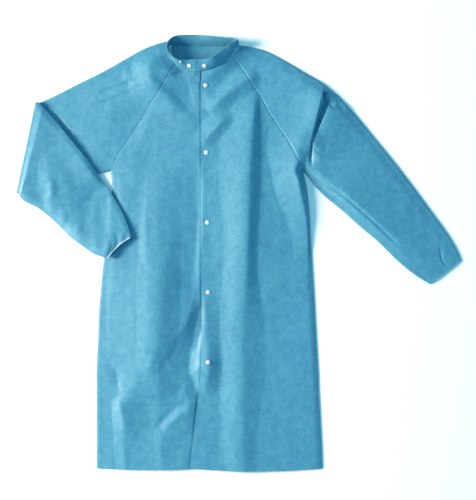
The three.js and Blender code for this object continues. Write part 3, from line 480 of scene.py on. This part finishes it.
def noise(x, y, size, seed, stretch):
    """Unevenness between -1 and 1, whose patches are about size across and stretch times as long in Y."""
    grid = np.random.default_rng(seed).uniform(-1, 1, (NOISE_CELLS, NOISE_CELLS))
    u, v = x / size + NOISE_START, y / (size * stretch) + NOISE_START
    i, j = np.floor(u).astype(int), np.floor(v).astype(int)
    s, t = smooth(u - i), smooth(v - j)
    corner = [grid[(i + a) % NOISE_CELLS, (j + b) % NOISE_CELLS] for a in (0, 1) for b in (0, 1)]
    return mix(mix(corner[0], corner[2], s), mix(corner[1], corner[3], s), t)


EDGE_STEPS = 60
SIDES = sample(BODY, even(EDGE_STEPS))
LEFT_UNDERARM = (-230, 742)
RIGHT_UNDERARM = (251, 742)


def side_edge(name, low_ease, high_ease, start, over):
    """A side edge of the body, with its ease below a place in Y and the one that it has some way above it."""
    ease = mix(low_ease, high_ease, smooth((SIDES["y"] - start) / over))
    return SIDES[name], SIDES["y"], np.full(EDGE_STEPS + 1, EDGE_Z), ease


def arm_edges(raglan, tube, underarm, shoulder_ease, under_ease):
    """The shoulder edge and the lower edge of a sleeve, each as a line with the height of the layer there and
    how far in from there it takes to reach its full height."""
    upper, lower = sample(raglan, even(EDGE_STEPS)), sample(tube, even(EDGE_STEPS))
    shoulder_x = np.append(upper["shoulder_x"], lower["upper_x"])
    shoulder_y = np.append(upper["shoulder_y"], lower["upper_y"])
    under_x = np.append(underarm[0], lower["lower_x"])
    under_y = np.append(underarm[1], lower["lower_y"])
    rising = np.append(EDGE_Z, np.full(EDGE_STEPS + 1, TURN_Z))
    level = np.full(len(shoulder_x), TURN_Z)
    return [(shoulder_x, shoulder_y, level, np.full(len(shoulder_x), shoulder_ease)),
            (under_x, under_y, rising, np.full(len(under_x), under_ease))]


# The edges where the upper layer comes down to the lower one.
EDGES = [
    side_edge("left", low_ease=EDGE_EASE, high_ease=28, start=200, over=80),
    side_edge("right", low_ease=14, high_ease=7, start=480, over=100),
    *arm_edges(LEFT_RAGLAN, LEFT_TUBE, LEFT_UNDERARM, shoulder_ease=EDGE_EASE, under_ease=EDGE_EASE),
    *arm_edges(RIGHT_RAGLAN, RIGHT_TUBE, RIGHT_UNDERARM, shoulder_ease=26, under_ease=22),
]


# Small soft undulations of cloth that was packed flat and has been shaken out.
UNDULATIONS = [
    {"height": 0.55, "size": 46, "seed": 3, "stretch": 1.7},
    {"height": 0.3, "size": 21, "seed": 5, "stretch": 1.8},
    {"height": 0.12, "size": 9, "seed": 8, "stretch": 1.5},
]


def unevenness(x, y):
    return sum(one["height"] * noise(x, y, one["size"], one["seed"], one["stretch"]) for one in UNDULATIONS)


def climb(inside, ease):
    """Share of its height that a layer has at a distance inside its edge: a quick turn, then a slow rise."""
    quick = 1 - np.clip(inside / EDGE_ROUND, 0, 1)
    return mix(np.sqrt(1 - quick ** 2), smooth(inside / ease), SLOW_SHARE)


def upper_z(x, y):
    """Height of the middle of the upper layer."""
    rises = rise_of_all(FOLDS + SLEEVE_FOLDS + CREASES + SEAM_DITCHES, x, y)
    loose = np.maximum(LOOSE_Z + rises + unevenness(x, y), LOW_Z)
    height = loose
    for px, py, pz, ease in EDGES:
        distance, stretch, t, _ = nearest(px, py, x, y)
        low, slow = (mix(values[stretch], values[stretch + 1], t) for values in (pz, ease))
        height = np.minimum(height, mix(low, loose, climb(distance - EDGE_REACH, slow)))
    return height


# ---- Meshes ----

SHARP_ANGLE = math.radians(50)
# The lowest corner of the back panel places the pattern frame in the part's own frame.
BACK_CORNER = (-265.0, 3.0)
low_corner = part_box("back_panel")[0]
ORIGIN = np.array([low_corner[0] / MM - BACK_CORNER[0], low_corner[1] / MM - BACK_CORNER[1], 0.0])


def grid_normals(points):
    """Directions square to a grid of points, at each point."""
    face = np.cross(points[1:, 1:] - points[:-1, :-1], points[1:, :-1] - points[:-1, 1:])
    face /= np.maximum(np.linalg.norm(face, axis=2, keepdims=True), TINY)
    normals = np.zeros(points.shape)
    for i, j in ((0, 0), (0, 1), (1, 0), (1, 1)):
        normals[i:points.shape[0] - 1 + i, j:points.shape[1] - 1 + j] += face
    return normals / np.maximum(np.linalg.norm(normals, axis=2, keepdims=True), TINY)


def mesh_object(name, points, faces, material):
    """An object from points of the pattern frame, smooth but for its sharp edges."""
    mesh = bpy.data.meshes.new(name)
    mesh.from_pydata(((points + ORIGIN) * MM).tolist(), [], faces)
    mesh.polygons.foreach_set("use_smooth", [True] * len(faces))
    mesh.set_sharp_from_angle(angle=SHARP_ANGLE)
    mesh.materials.append(material)
    mesh.update()
    made = bpy.data.objects.new(name, mesh)
    bpy.context.scene.collection.objects.link(made)
    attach(made, "root")
    return made


def signed_volume(points, faces):
    """A number whose sign tells whether the four-sided faces look outward."""
    a, b, c, d = (points[faces[:, k]] for k in range(4))
    return (np.einsum("ij,ij->i", a, np.cross(b, c)) + np.einsum("ij,ij->i", a, np.cross(c, d))).sum()


def wall(name, points, thickness, material):
    """A grid of points given a thickness, half of it to each side, and closed round its rim."""
    rows, columns = points.shape[:2]
    count = rows * columns
    normals = grid_normals(points)
    both = np.concatenate([(points + normals * thickness / 2).reshape(-1, 3),
                           (points - normals * thickness / 2).reshape(-1, 3)])
    corner = (np.arange(rows - 1)[:, None] * columns + np.arange(columns - 1)).ravel()
    top = np.stack([corner, corner + 1, corner + columns + 1, corner + columns], 1)
    bottom = count + top[:, ::-1]
    rim = np.concatenate([
        np.arange(columns - 1), np.arange(rows - 1) * columns + columns - 1,
        count - columns + np.arange(columns - 1, 0, -1), np.arange(rows - 1, 0, -1) * columns,
    ])
    after = np.roll(rim, -1)
    side = np.stack([rim, count + rim, count + after, after], 1)
    faces = np.concatenate([top, bottom, side])
    if signed_volume(both, faces) < 0:
        faces = faces[:, ::-1]
    return mesh_object(name, both, faces.tolist(), material)


# ---- Materials ----

CLOTH_ROUGHNESS = 0.55


def new_material(name, color, roughness):
    material = bpy.data.materials.new(name)
    material.use_nodes = True
    shader = material.node_tree.nodes["Principled BSDF"]
    shader.inputs["Base Color"].default_value = (*color, 1)
    shader.inputs["Roughness"].default_value = roughness
    return material


def nonwoven(name, color, deep):
    """Spunbond cloth: denser and thinner places, fine fibre, and the points where it is bonded."""
    material = new_material(name, color, CLOTH_ROUGHNESS)
    nodes, link = material.node_tree.nodes, material.node_tree.links.new
    shader = nodes["Principled BSDF"]
    shader.inputs["Sheen Weight"].default_value = 0.18
    shader.inputs["Sheen Roughness"].default_value = 0.4
    shader.inputs["Specular IOR Level"].default_value = 0.7
    place = nodes.new("ShaderNodeTexCoord")

    def noise_of(source, scale, detail, roughness):
        texture = nodes.new("ShaderNodeTexNoise")
        texture.inputs["Scale"].default_value = scale
        texture.inputs["Detail"].default_value = detail
        texture.inputs["Roughness"].default_value = roughness
        link(source, texture.inputs["Vector"])
        return texture.outputs["Fac"]

    def bump(height, strength, distance):
        node = nodes.new("ShaderNodeBump")
        node.inputs["Strength"].default_value = strength
        node.inputs["Distance"].default_value = distance
        link(height, node.inputs["Height"])
        return node

    lengthwise = nodes.new("ShaderNodeMapping")
    lengthwise.inputs["Scale"].default_value = (1.0, 0.7, 1.0)
    link(place.outputs["Object"], lengthwise.inputs["Vector"])
    cloud = noise_of(place.outputs["Object"], scale=60, detail=5, roughness=0.65)
    fibre = noise_of(lengthwise.outputs["Vector"], scale=240, detail=4, roughness=0.75)
    both = nodes.new("ShaderNodeMix")
    both.inputs["Factor"].default_value = 0.5
    link(cloud, both.inputs["A"])
    link(fibre, both.inputs["B"])
    ramp = nodes.new("ShaderNodeValToRGB")
    ramp.color_ramp.elements[0].position = 0.38
    ramp.color_ramp.elements[0].color = (*deep, 1)
    ramp.color_ramp.elements[1].position = 0.62
    ramp.color_ramp.elements[1].color = (*color, 1)
    link(both.outputs["Result"], ramp.inputs["Fac"])
    link(ramp.outputs["Color"], shader.inputs["Base Color"])

    bonds = nodes.new("ShaderNodeTexVoronoi")
    bonds.inputs["Scale"].default_value = 620
    bonds.inputs["Randomness"].default_value = 0.25
    link(place.outputs["Object"], bonds.inputs["Vector"])
    fine = bump(bonds.outputs["Distance"], strength=0.12, distance=0.0004)
    coarse = bump(both.outputs["Result"], strength=0.4, distance=0.0008)
    link(fine.outputs["Normal"], coarse.inputs["Normal"])
    link(coarse.outputs["Normal"], shader.inputs["Normal"])
    return material


BLUE = nonwoven("nonwoven_blue", (0.062, 0.292, 0.415), (0.031, 0.200, 0.345))
SNAP = new_material("snap_white", (0.65, 0.66, 0.66), 0.3)
ELASTIC = new_material("elastic_white", (0.75, 0.77, 0.77), 0.7)
FLOOR = new_material("floor_white", (0.93, 0.93, 0.93), 1.0)

# ---- Fronts ----

ARMHOLE_STEPS = 120
BODY_STEPS = 300
FRONT_COLUMNS = 102
CROWDING = 0.2  # share by which columns are closer together at the side and further apart at the closing edge


def front_share(columns):
    t = even(columns)
    return (1 - CROWDING) * t + CROWDING * t * t


def front_rows(side_x, side_y, closing_x, closing_y, bow):
    """Places in plan of a front, each row from its side or raglan edge to its closing edge."""
    share = front_share(FRONT_COLUMNS)[None, :]
    length = np.hypot(closing_x - side_x, closing_y - side_y)
    start_x = side_x + (closing_x - side_x) * SEAM_SHIFT / length
    start_y = side_y + (closing_y - side_y) * SEAM_SHIFT / length
    x = mix(start_x[:, None], closing_x[:, None], share)
    y = mix(start_y[:, None], closing_y[:, None], share) + bow[:, None] * np.sin(np.pi * share)
    return x, y


def joined(*pairs):
    return [np.concatenate(columns) for columns in zip(*pairs)]


left_arm = sample(LEFT_RAGLAN, even(ARMHOLE_STEPS))
right_arm = sample(RIGHT_RAGLAN, even(ARMHOLE_STEPS))
closing = sample(CLOSING, even(ARMHOLE_STEPS))
body = sample(BODY, even(BODY_STEPS)[1:])


def front_plan(arm, side, bow, reach):
    upper = (arm["front_x"], arm["front_y"], closing["x"] + reach, closing["y"], closing[bow])
    lower = (body[side], body["y"], body["closing"] + reach, body["y"], body[bow])
    return front_rows(*joined(upper, lower))


x, y = front_plan(right_arm, "right", "right_bow", 0)
over_points = np.stack([x, y, upper_z(x, y)], 2)
front_over = wall("cloth_front_over", over_points, CLOTH, BLUE)

x, y = front_plan(left_arm, "left", "left_bow", LAP_WIDTH)
drop = LAP_DROP * smooth(1 + (x - x[:, -1:] + LAP_WIDTH) / LAP_EASE)
under_height = np.maximum(upper_z(x, y) + rise_of_all(UNDER_FOLDS, x, y) - drop, UNDER_LOW_Z)
under_points = np.stack([x, y, under_height], 2)
front_under = wall("cloth_front_under", under_points, CLOTH, BLUE)

# ---- Back ----

BACK_COLUMNS = 70
BACK_TUCK = 3.0  # how far the back reaches under the collar
HEM_RISE = 3.0  # how far the hem of the back is drawn up, from HEM_REACH above it
HEM_REACH = 60


def flat(x, y):
    return np.full(np.shape(x), BACK_Z)


def back_rows():
    """The back, each row from its left edge to its right, from the neck to the hem."""
    left_x = np.concatenate([left_arm["back_x"], body["left"]]) + SEAM_SHIFT
    left_y = np.concatenate([left_arm["back_y"], body["y"]])
    right_x = np.concatenate([right_arm["back_x"], body["right"]]) - SEAM_SHIFT
    right_y = np.concatenate([right_arm["back_y"], body["y"]])
    share = even(BACK_COLUMNS)[None, :]
    x = mix(left_x[:, None], right_x[:, None], share)[::2]
    y = mix(left_y[:, None], right_y[:, None], share)[::2]
    y += HEM_RISE * np.clip(1 - y / HEM_REACH, 0, 1)
    y[0] += BACK_TUCK
    return x, y


x, y = back_rows()
back_panel = wall("cloth_back", np.stack([x, y, flat(x, y)], 2), BACK_CLOTH, BLUE)

# ---- Sleeves ----

TOP_COLUMNS = 78
SECOND_COLUMNS = 22
EDGE_ANGLES = np.radians(np.linspace(90, -90, 9))
LAST_COLUMNS = 14
LAST_LENGTH = 12.0
LAST_SHARE = 0.4
RIGHT_TUBE_STEPS = 150
LEFT_TUBE_STEPS = 45
FOLDED_TUBE_STEPS = 130
ARM_LINE_STEPS = 20


def top_share():
    """Columns of the first layer, closer together towards its two edges."""
    t = np.arange(TOP_COLUMNS) / TOP_COLUMNS
    return mix(t, smooth(t), 0.5)


def with_height(plan, height):
    return np.dstack([plan, height(plan[:, :, 0], plan[:, :, 1])])


def unit(v):
    return v / np.linalg.norm(v, axis=-1, keepdims=True)


def plan_of(at, name):
    return np.column_stack([at[f"{name}_x"], at[f"{name}_y"]])


def turned_edges(centre, outward, first, second):
    """The round edge of a flattened sleeve, from its first layer to its second, about places inside it."""
    radius = ((first - second) / 2)[:, None]
    plan = centre[:, None] + outward[:, None] * (np.abs(radius) * np.cos(EDGE_ANGLES))[:, :, None]
    return np.dstack([plan, second[:, None] + radius + radius * np.sin(EDGE_ANGLES)])


def raglan_rows(rows, steps):
    """The raglan part, each row from the front seam over the shoulder edge to the back seam."""
    at = sample(rows, even(steps))
    front, back, shoulder = (plan_of(at, name) for name in ("front", "back", "shoulder"))
    outward = unit(shoulder - (front + back) / 2)
    centre = shoulder - outward * EDGE_REACH
    start = front + unit(centre - front) * SEAM_SHIFT
    end = back + unit(centre - back) * SEAM_SHIFT
    share = top_share()[:, None]
    first = mix(start[:, None], centre[:, None], share)
    first[:, :, 0] += (np.sign(shoulder[:, :1]) * at["bow"][:, None]) * np.sin(np.pi * share[:, 0])
    last_length = np.minimum(LAST_LENGTH, LAST_SHARE * np.linalg.norm(centre - end, axis=1, keepdims=True))
    near_end = end + unit(centre - end) * last_length
    second = mix(centre[:, None], near_end[:, None], even(SECOND_COLUMNS)[1:, None])
    last = mix(near_end[:, None], end[:, None], even(LAST_COLUMNS)[1:, None])
    levels = (np.full(steps + 1, TURN_Z), np.full(steps + 1, BACK_Z))
    return np.concatenate([with_height(first, upper_z), turned_edges(centre, outward, *levels),
                           with_height(second, flat), with_height(last, flat)], 1)


def tube_rows(rows, steps, first_z, second_z):
    """A flattened tube, each row from the underarm seam over the first layer, round the upper edge, back
    along the second layer and round the lower edge, up to the other side of the seam."""
    at = sample(rows, even(steps))
    lower, upper = plan_of(at, "lower"), plan_of(at, "upper")
    outward = unit(upper - lower)
    width = np.linalg.norm(upper - lower, axis=1)
    low_first, low_second = (z(lower[:, 0], lower[:, 1]) for z in (first_z, second_z))
    radius = (low_first - low_second) / 2
    around = np.abs(radius)
    quarter = around * np.pi / 2
    reach = around + WALL / 2

    def along_cloth(lengths):
        """Points at distances from the outermost points of the lower edge, measured along the cloth."""
        size, way = np.abs(lengths), np.sign(lengths)
        angle = np.minimum(size / around[:, None], np.pi / 2)
        inward = (reach[:, None] - around[:, None] * np.cos(angle) + np.maximum(size - quarter[:, None], 0))
        plan = lower[:, None] + outward[:, None] * inward[:, :, None]
        x, y = plan[:, :, 0], plan[:, :, 1]
        level = np.where(lengths > 0, first_z(x, y), second_z(x, y))
        turning = (low_second + radius)[:, None] + way * radius[:, None] * np.sin(angle)
        return np.dstack([plan, np.where(size < quarter[:, None], turning, level)])

    seam = np.maximum(at["seam"], 0)[:, None]
    top_end = (quarter + width - 2 * reach)[:, None]
    first = along_cloth(mix(seam + SEAM / 2, top_end, top_share()))
    ends = [z(upper[:, 0], upper[:, 1]) for z in (first_z, second_z)]
    edge = turned_edges(upper - outward * reach[:, None], outward, *ends)
    second = along_cloth(-mix(top_end, quarter[:, None], even(SECOND_COLUMNS)[1:]))
    last = along_cloth(mix(-quarter[:, None], seam - SEAM / 2, even(LAST_COLUMNS)[1:]))
    return np.concatenate([first, edge, second, last], 1)


def pleat_rows(lip, beyond_rim):
    """Rows that leave the lip of the last raglan row, turn under it and come up again at the rim."""
    share = np.ones(len(lip))
    share[:TOP_COLUMNS] = top_share()
    rising = (share - PLEAT_START) / (PLEAT_WIDEST - PLEAT_START)
    falling = (PLEAT_END - share) / (PLEAT_END - PLEAT_WIDEST)
    mouth = np.clip(np.minimum(rising, falling), 0, 1)
    mouth[TOP_COLUMNS:] = 0
    ahead = beyond_rim[:, :2] - lip[:, :2]
    ahead /= np.maximum(np.linalg.norm(ahead, axis=1, keepdims=True), TINY)
    result = []
    count = len(PLEAT["down"])
    for k in range(count):
        base = mix(lip, beyond_rim, (k + 1) / (count + 1))
        plan = lip[:, :2] + ahead * (PLEAT["across"][k] * PLEAT_MOUTH * mouth + PLEAT["beyond"][k])[:, None]
        top = upper_z(plan[:, 0], plan[:, 1])
        depth = np.minimum(PLEAT["down"][k], np.maximum(top - PLEAT_FLOOR, 0))
        folded = np.column_stack([plan, top - depth])
        result.append(mix(base, folded, np.minimum(mouth * PLEAT_QUICK, 1)[:, None]))
    return result


right_raglan = raglan_rows(RIGHT_RAGLAN, ARMHOLE_STEPS)
right_tube = tube_rows(RIGHT_TUBE, RIGHT_TUBE_STEPS, upper_z, flat)
straight_points = np.array([*right_raglan, *pleat_rows(right_raglan[-1], right_tube[PLEAT_SKIP]),
                            *right_tube[PLEAT_SKIP:]])
sleeve_straight = wall("cloth_sleeve_straight", straight_points, CLOTH, BLUE)

# Beyond the left side of the body and this lower edge of the sleeve, the folded part lies on the table.
ARM_LINE = sample(LEFT_TUBE, even(ARM_LINE_STEPS))


def rest_z(x, y):
    """Height of the lower layer of the folded part: on the garment, or down on the table beyond it."""
    side, _, _, left_of_side = nearest(SIDES["left"], SIDES["y"], x, y)
    arm, _, _, left_of_arm = nearest(ARM_LINE["lower_x"], ARM_LINE["lower_y"], x, y)
    clear = np.minimum(np.where(left_of_side > 0, -side, side), np.where(left_of_arm > 0, arm, -arm))
    from_armpit = (x - ARMPIT[0]) ** 2 + (y - ARMPIT[1]) ** 2
    sag = ARMPIT_SAG * np.exp(-from_armpit / (2 * ARMPIT_REACH ** 2))
    held = REST_Z - sag + CUFF_LIFT * smooth((LIFT_START - y) / LIFT_EASE)
    return mix(held, TABLE_Z, np.clip(clear / REST_EASE, 0, 1))


FOLDED_LINE = sample(FOLDED_TUBE, even(EDGE_STEPS))


def folded_top_z(x, y):
    """Height of the upper layer of the folded part."""
    to_upper = nearest(FOLDED_LINE["upper_x"], FOLDED_LINE["upper_y"], x, y)[0]
    to_lower = nearest(FOLDED_LINE["lower_x"], FOLDED_LINE["lower_y"], x, y)[0]
    inside = np.minimum(to_upper, to_lower) - EDGE_REACH
    loft = np.maximum(TUBE_LOFT + rise_of_all(FOLDED_FOLDS, x, y) + unevenness(x, y), LEAST_LOFT)
    return rest_z(x, y) + TURN_Z - BACK_Z + loft * climb(inside, FOLDED_EASE)


TURN_STEPS = 16


def turn_rows(section, away):
    """The last section of the tube swung half round about a level line above it."""
    arm = FOLD_AXIS_Z - section[:, 2]
    result = []
    for angle in np.radians(np.linspace(0, 180, TURN_STEPS + 1)[1:]):
        out = (arm * max(math.sin(angle), 0) ** TURN_SQUARE)[:, None] * away
        level = math.copysign(abs(math.cos(angle)) ** TURN_SQUARE, math.cos(angle))
        result.append(np.column_stack([section[:, :2] + out, FOLD_AXIS_Z - arm * level]))
    return result


CUFF_BITE = 4.5  # how far the elastic draws in the middle of the cuff, fading out over BITE_ROWS
BITE_ROWS = 20


def drawn_in(rows):
    """A sleeve's rows with the middle of the cuff drawn in by its elastic."""
    low, high = rows[-1, 0, :2], rows[-1, TOP_COLUMNS, :2]
    across = np.clip((rows[:, :, :2] - low) @ (high - low) / ((high - low) @ (high - low)), 0, 1)
    back = unit(rows[-BITE_ROWS, TOP_COLUMNS // 2, :2] - rows[-1, TOP_COLUMNS // 2, :2])
    near = smooth((np.arange(len(rows)) - len(rows) + BITE_ROWS) / BITE_ROWS)
    rows[:, :, :2] += CUFF_BITE * (near[:, None] * np.sin(np.pi * across))[:, :, None] * back
    return rows


left_tube = tube_rows(LEFT_TUBE, LEFT_TUBE_STEPS, upper_z, flat)
turn = {name: values[-1] for name, values in LEFT_TUBE.items()}
away = unit(np.array([turn["lower_y"] - turn["upper_y"], turn["upper_x"] - turn["lower_x"]]))
folded_tube = drawn_in(tube_rows(FOLDED_TUBE, FOLDED_TUBE_STEPS, rest_z, folded_top_z))
left_raglan = raglan_rows(LEFT_RAGLAN, ARMHOLE_STEPS)
folded_points = np.array([*left_raglan, *left_tube, *turn_rows(left_tube[-1], away), *folded_tube])
sleeve_folded = wall("cloth_sleeve_folded", folded_points, CLOTH, BLUE)

# ---- Collar ----

# The band from its end on the under front, left round the neck, to its other end on top: its seam and its
# free edge in plan, whether it is on the back (0) or the upper layer (1), and how far it is lifted off that.
COLLAR = table(["seam_x", "seam_y", "edge_x", "edge_y", "layer", "lift"], [
    (10, 995.5, 10, 1017.5, 1, -2),
    (-18, 996, -18, 1017.5, 1, 0),
    (-45, 998, -43.5, 1016, 1, 0.2),
    (-66, 1008, -64, 1018, 1, 0.4),
    (-80, 1027, -83, 1033, 1, 0.4),
    (-85, 1044, -88, 1049, 0.8, 0),
    (-82, 1056, -83, 1064, 0.3, 0.6),
    (-66, 1057, -67, 1076, 0, 0),
    (-42, 1057, -43, 1079, 0, 0),
    (-10, 1055, -10, 1079, 0, 0),
    (22, 1055, 25, 1075, 0, 0),
    (50, 1054, 56, 1072, 0, 0),
    (74, 1055.5, 80, 1070, 0, 0),
    (91, 1057, 88, 1066, 0.55, 0.6),
    (84, 1046, 73, 1057, 1, 0.8),
    (72, 1030, 55, 1046, 1, 0.6),
    (56, 1015, 38, 1031, 1, 0.4),
    (31, 1001, 25, 1022, 1, 0.8),
    (-3, 991, -2, 1016, 1, 1.6),
    (-24, 992, -24, 1015, 1, 3),
    (-42, 996, -41, 1015, 1, 4),
])
COLLAR_STEPS = 300
COLLAR_COLUMNS = 14


def collar_points():
    """The band leans from its seam to its free edge, as high as its width allows."""
    at = sample(COLLAR, even(COLLAR_STEPS))
    seam, edge = plan_of(at, "seam"), plan_of(at, "edge")
    lean = np.minimum(np.linalg.norm(edge - seam, axis=1), BAND_LEAN)
    height = np.sqrt(BAND_WIDTH ** 2 - lean ** 2)
    under = mix(BACK_Z, upper_z(seam[:, 0], seam[:, 1]), at["layer"])
    base = under + WALL / 2 + SEAM + BAND / 2 * lean / BAND_WIDTH + at["lift"]
    out = unit(edge - seam)
    share = even(COLLAR_COLUMNS)
    bow = BAND_BOW * np.sin(np.pi * share)
    plan = mix(seam[:, None, :], edge[:, None, :], share[None, :, None])
    plan = plan - out[:, None, :] * (bow[None, :] * height[:, None] / BAND_WIDTH)[:, :, None]
    z = base[:, None] + height[:, None] * share[None, :] + bow[None, :] * lean[:, None] / BAND_WIDTH
    return np.concatenate([plan, z[:, :, None]], 2)


collar_grid = collar_points()
collar = wall("cloth_collar", collar_grid, BAND, BLUE)

# ---- Snaps ----

SNAP_RADIUS = 5.35
STUD_RADIUS = 3.0
SNAP_SIDES = 40
SNAP_GAP = 0.1
# How far out and how high the outline of a cap is, from the middle of its foot to the middle of its dome.
SNAP_PROFILE = [
    (0, 0), (4.9, 0), (5.25, 0.2), (SNAP_RADIUS, 0.55), (5.2, 0.95), (4.8, 1.15),
    (4.3, 1.1), (3.9, 1.2), (3.2, 1.5), (2, 1.72), (0.9, 1.8), (0, 1.8),
]
# Places in X and Y on the over front, and places on the collar as shares of its length and of its width.
FRONT_SNAPS = [(7, 955.5), (10, 787.5), (12, 614), (13.5, 440.5), (13, 267.5)]
COLLAR_SNAPS = [
    ("snap_collar_1", 0.97, 0.5, SNAP_RADIUS),
    ("snap_collar_2", 0.888, 0.45, SNAP_RADIUS),
    ("stud_collar", 0.124, 0.84, STUD_RADIUS),
]


def lathe(profile, sides):
    """Points and faces of a profile turned about Z, its first and last points on the axis."""
    points, faces = [(0.0, 0.0, float(profile[0][1]))], []
    rings = profile[1:-1]
    for radius, height in rings:
        for k in range(sides):
            angle = 2 * math.pi * k / sides
            points.append((radius * math.cos(angle), radius * math.sin(angle), float(height)))
    points.append((0.0, 0.0, float(profile[-1][1])))
    end = len(points) - 1
    for k in range(sides):
        n = (k + 1) % sides
        faces.append((0, 1 + n, 1 + k))
        for r in range(len(rings) - 1):
            a = 1 + r * sides
            faces.append((a + k, a + n, a + sides + n, a + sides + k))
        faces.append((end, end - sides + k, end - sides + n))
    return np.array(points), faces


def seated(points, centre, normal):
    """Points made about +Z, turned so that they stand on a place of the cloth."""
    turn_matrix = np.array(Vector((0, 0, 1)).rotation_difference(Vector(normal)).to_matrix())
    return points @ turn_matrix.T + centre


def add_snap(name, centre, normal, radius):
    size = radius / SNAP_RADIUS
    points, faces = lathe([(across * size, height) for across, height in SNAP_PROFILE], SNAP_SIDES)
    made = mesh_object(f"cap_{name}", seated(points, centre, normal), faces, SNAP)
    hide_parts(name)
    return made


def place_on(points, x, y):
    """The point of a fine grid nearest in plan to a place, and the direction square to the cloth there."""
    away = np.hypot(points[:, :, 0] - x, points[:, :, 1] - y)
    i, j = np.unravel_index(np.argmin(away), away.shape)
    near = grid_normals(points[i - 3:i + 4, j - 3:j + 4])
    normal = unit(near.reshape(-1, 3).mean(axis=0))
    normal = normal if normal[2] > 0 else -normal
    return points[i, j], normal


front_caps = []
for index, (x, y) in enumerate(FRONT_SNAPS, 1):
    spot, normal = place_on(over_points, x, y)
    centre = spot + normal * (CLOTH / 2 + SNAP_GAP)
    front_caps.append(add_snap(f"snap_front_{index}", centre, normal, SNAP_RADIUS))

collar_caps = []
for name, along, up, radius in COLLAR_SNAPS:
    i, j = int(along * COLLAR_STEPS), int(up * COLLAR_COLUMNS)
    spot = collar_grid[i, j]
    lengthwise = collar_grid[i + 2, j] - collar_grid[i - 2, j]
    upward = collar_grid[i, j + 1] - collar_grid[i, j - 1]
    normal = unit(np.cross(upward, lengthwise))
    collar_caps.append(add_snap(name, spot + normal * (BAND / 2 + SNAP_GAP), normal, radius))

# ---- Elastics ----

ELASTIC_THICK = 0.8
ELASTIC_ROWS = slice(-4, -1)  # the rows of a sleeve that its elastic lies along


def elastic_strip(name, sleeve):
    """A strip that lies on the second layer of a sleeve, beside the edge of its cuff."""
    cloth = sleeve[ELASTIC_ROWS, TOP_COLUMNS + len(EDGE_ANGLES):-LAST_COLUMNS]
    up = grid_normals(cloth)
    up *= np.sign(up[:, :, 2:])
    made = wall(f"strip_{name}", cloth + up * (CLOTH + ELASTIC_THICK) / 2, ELASTIC_THICK, ELASTIC)
    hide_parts(name)
    return made


elastic_folded = elastic_strip("elastic_folded", folded_points)
elastic_straight = elastic_strip("elastic_straight", straight_points)

# ---- What each piece stands for ----

# Each piece of cloth, the node it stands for, its flat cut and area in metres, what it lies on, and what is
# fixed to it.
SHEETS = [
    (back_panel, "back_panel", (0.56, 1.06), 0.49, ["floor"], []),
    (front_under, "front_under", (0.30, 1.02), 0.255, ["cloth_back"], []),
    (front_over, "front_over", (0.34, 1.05), 0.27, ["cloth_back", "cloth_front_under"], front_caps),
    (sleeve_folded, "sleeve_folded", (0.50, 0.80), 0.26, ["floor", "cloth_front_under"],
     [elastic_folded]),
    (sleeve_straight, "sleeve_straight", (0.50, 0.78), 0.24, ["floor"], [elastic_straight]),
    (collar, "collar", (0.48, 0.03), None, ["cloth_front_over", "cloth_front_under"], collar_caps),
]
for piece, node, cut, area, under, fixed in SHEETS:
    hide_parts(node)

# ---- Floor, light and camera ----

# Floor and camera are in metres, the camera's lens and sensor in millimetres.
FLOOR_SIZE = 30
FLOOR_DROP = 0.0002
SKY_COLOR = (0.26, 0.74, 1.0, 1)
SKY_STRENGTH = 0.75
CAMERA_PLACE = (-0.003, 0.0089, 2.95)
CAMERA_LENS = 85
CAMERA_SENSOR = 36

scene = bpy.context.scene
scene.view_settings.view_transform = "Standard"
bpy.ops.mesh.primitive_plane_add(size=FLOOR_SIZE, location=(0, 0, -FLOOR_DROP))
floor = bpy.context.active_object
floor.name = "floor"
floor.data.materials.append(FLOOR)

world = bpy.data.worlds.new("studio")
scene.world = world
world.use_nodes = True
background = world.node_tree.nodes["Background"]
background.inputs["Color"].default_value = SKY_COLOR
background.inputs["Strength"].default_value = SKY_STRENGTH


def add_area(name, azimuth, elevation, distance, size, power, color):
    """A square soft light, aimed at the middle of the frock."""
    light = bpy.data.lights.new(name, "AREA")
    light.size = size
    light.energy = power
    light.color = color
    made = bpy.data.objects.new(name, light)
    a, e = math.radians(azimuth), math.radians(elevation)
    made.location = distance * Vector((math.cos(a) * math.cos(e), math.sin(a) * math.cos(e), math.sin(e)))
    made.rotation_euler = (-made.location).to_track_quat("-Z", "Y").to_euler()
    scene.collection.objects.link(made)


add_area("key", azimuth=175, elevation=23, distance=5.5, size=1.8, power=850, color=(1.0, 0.80, 0.62))

camera_data = bpy.data.cameras.new("camera")
camera_data.lens = CAMERA_LENS
camera_data.sensor_width = CAMERA_SENSOR
camera = bpy.data.objects.new("camera", camera_data)
camera.location = CAMERA_PLACE
scene.collection.objects.link(camera)
scene.camera = camera
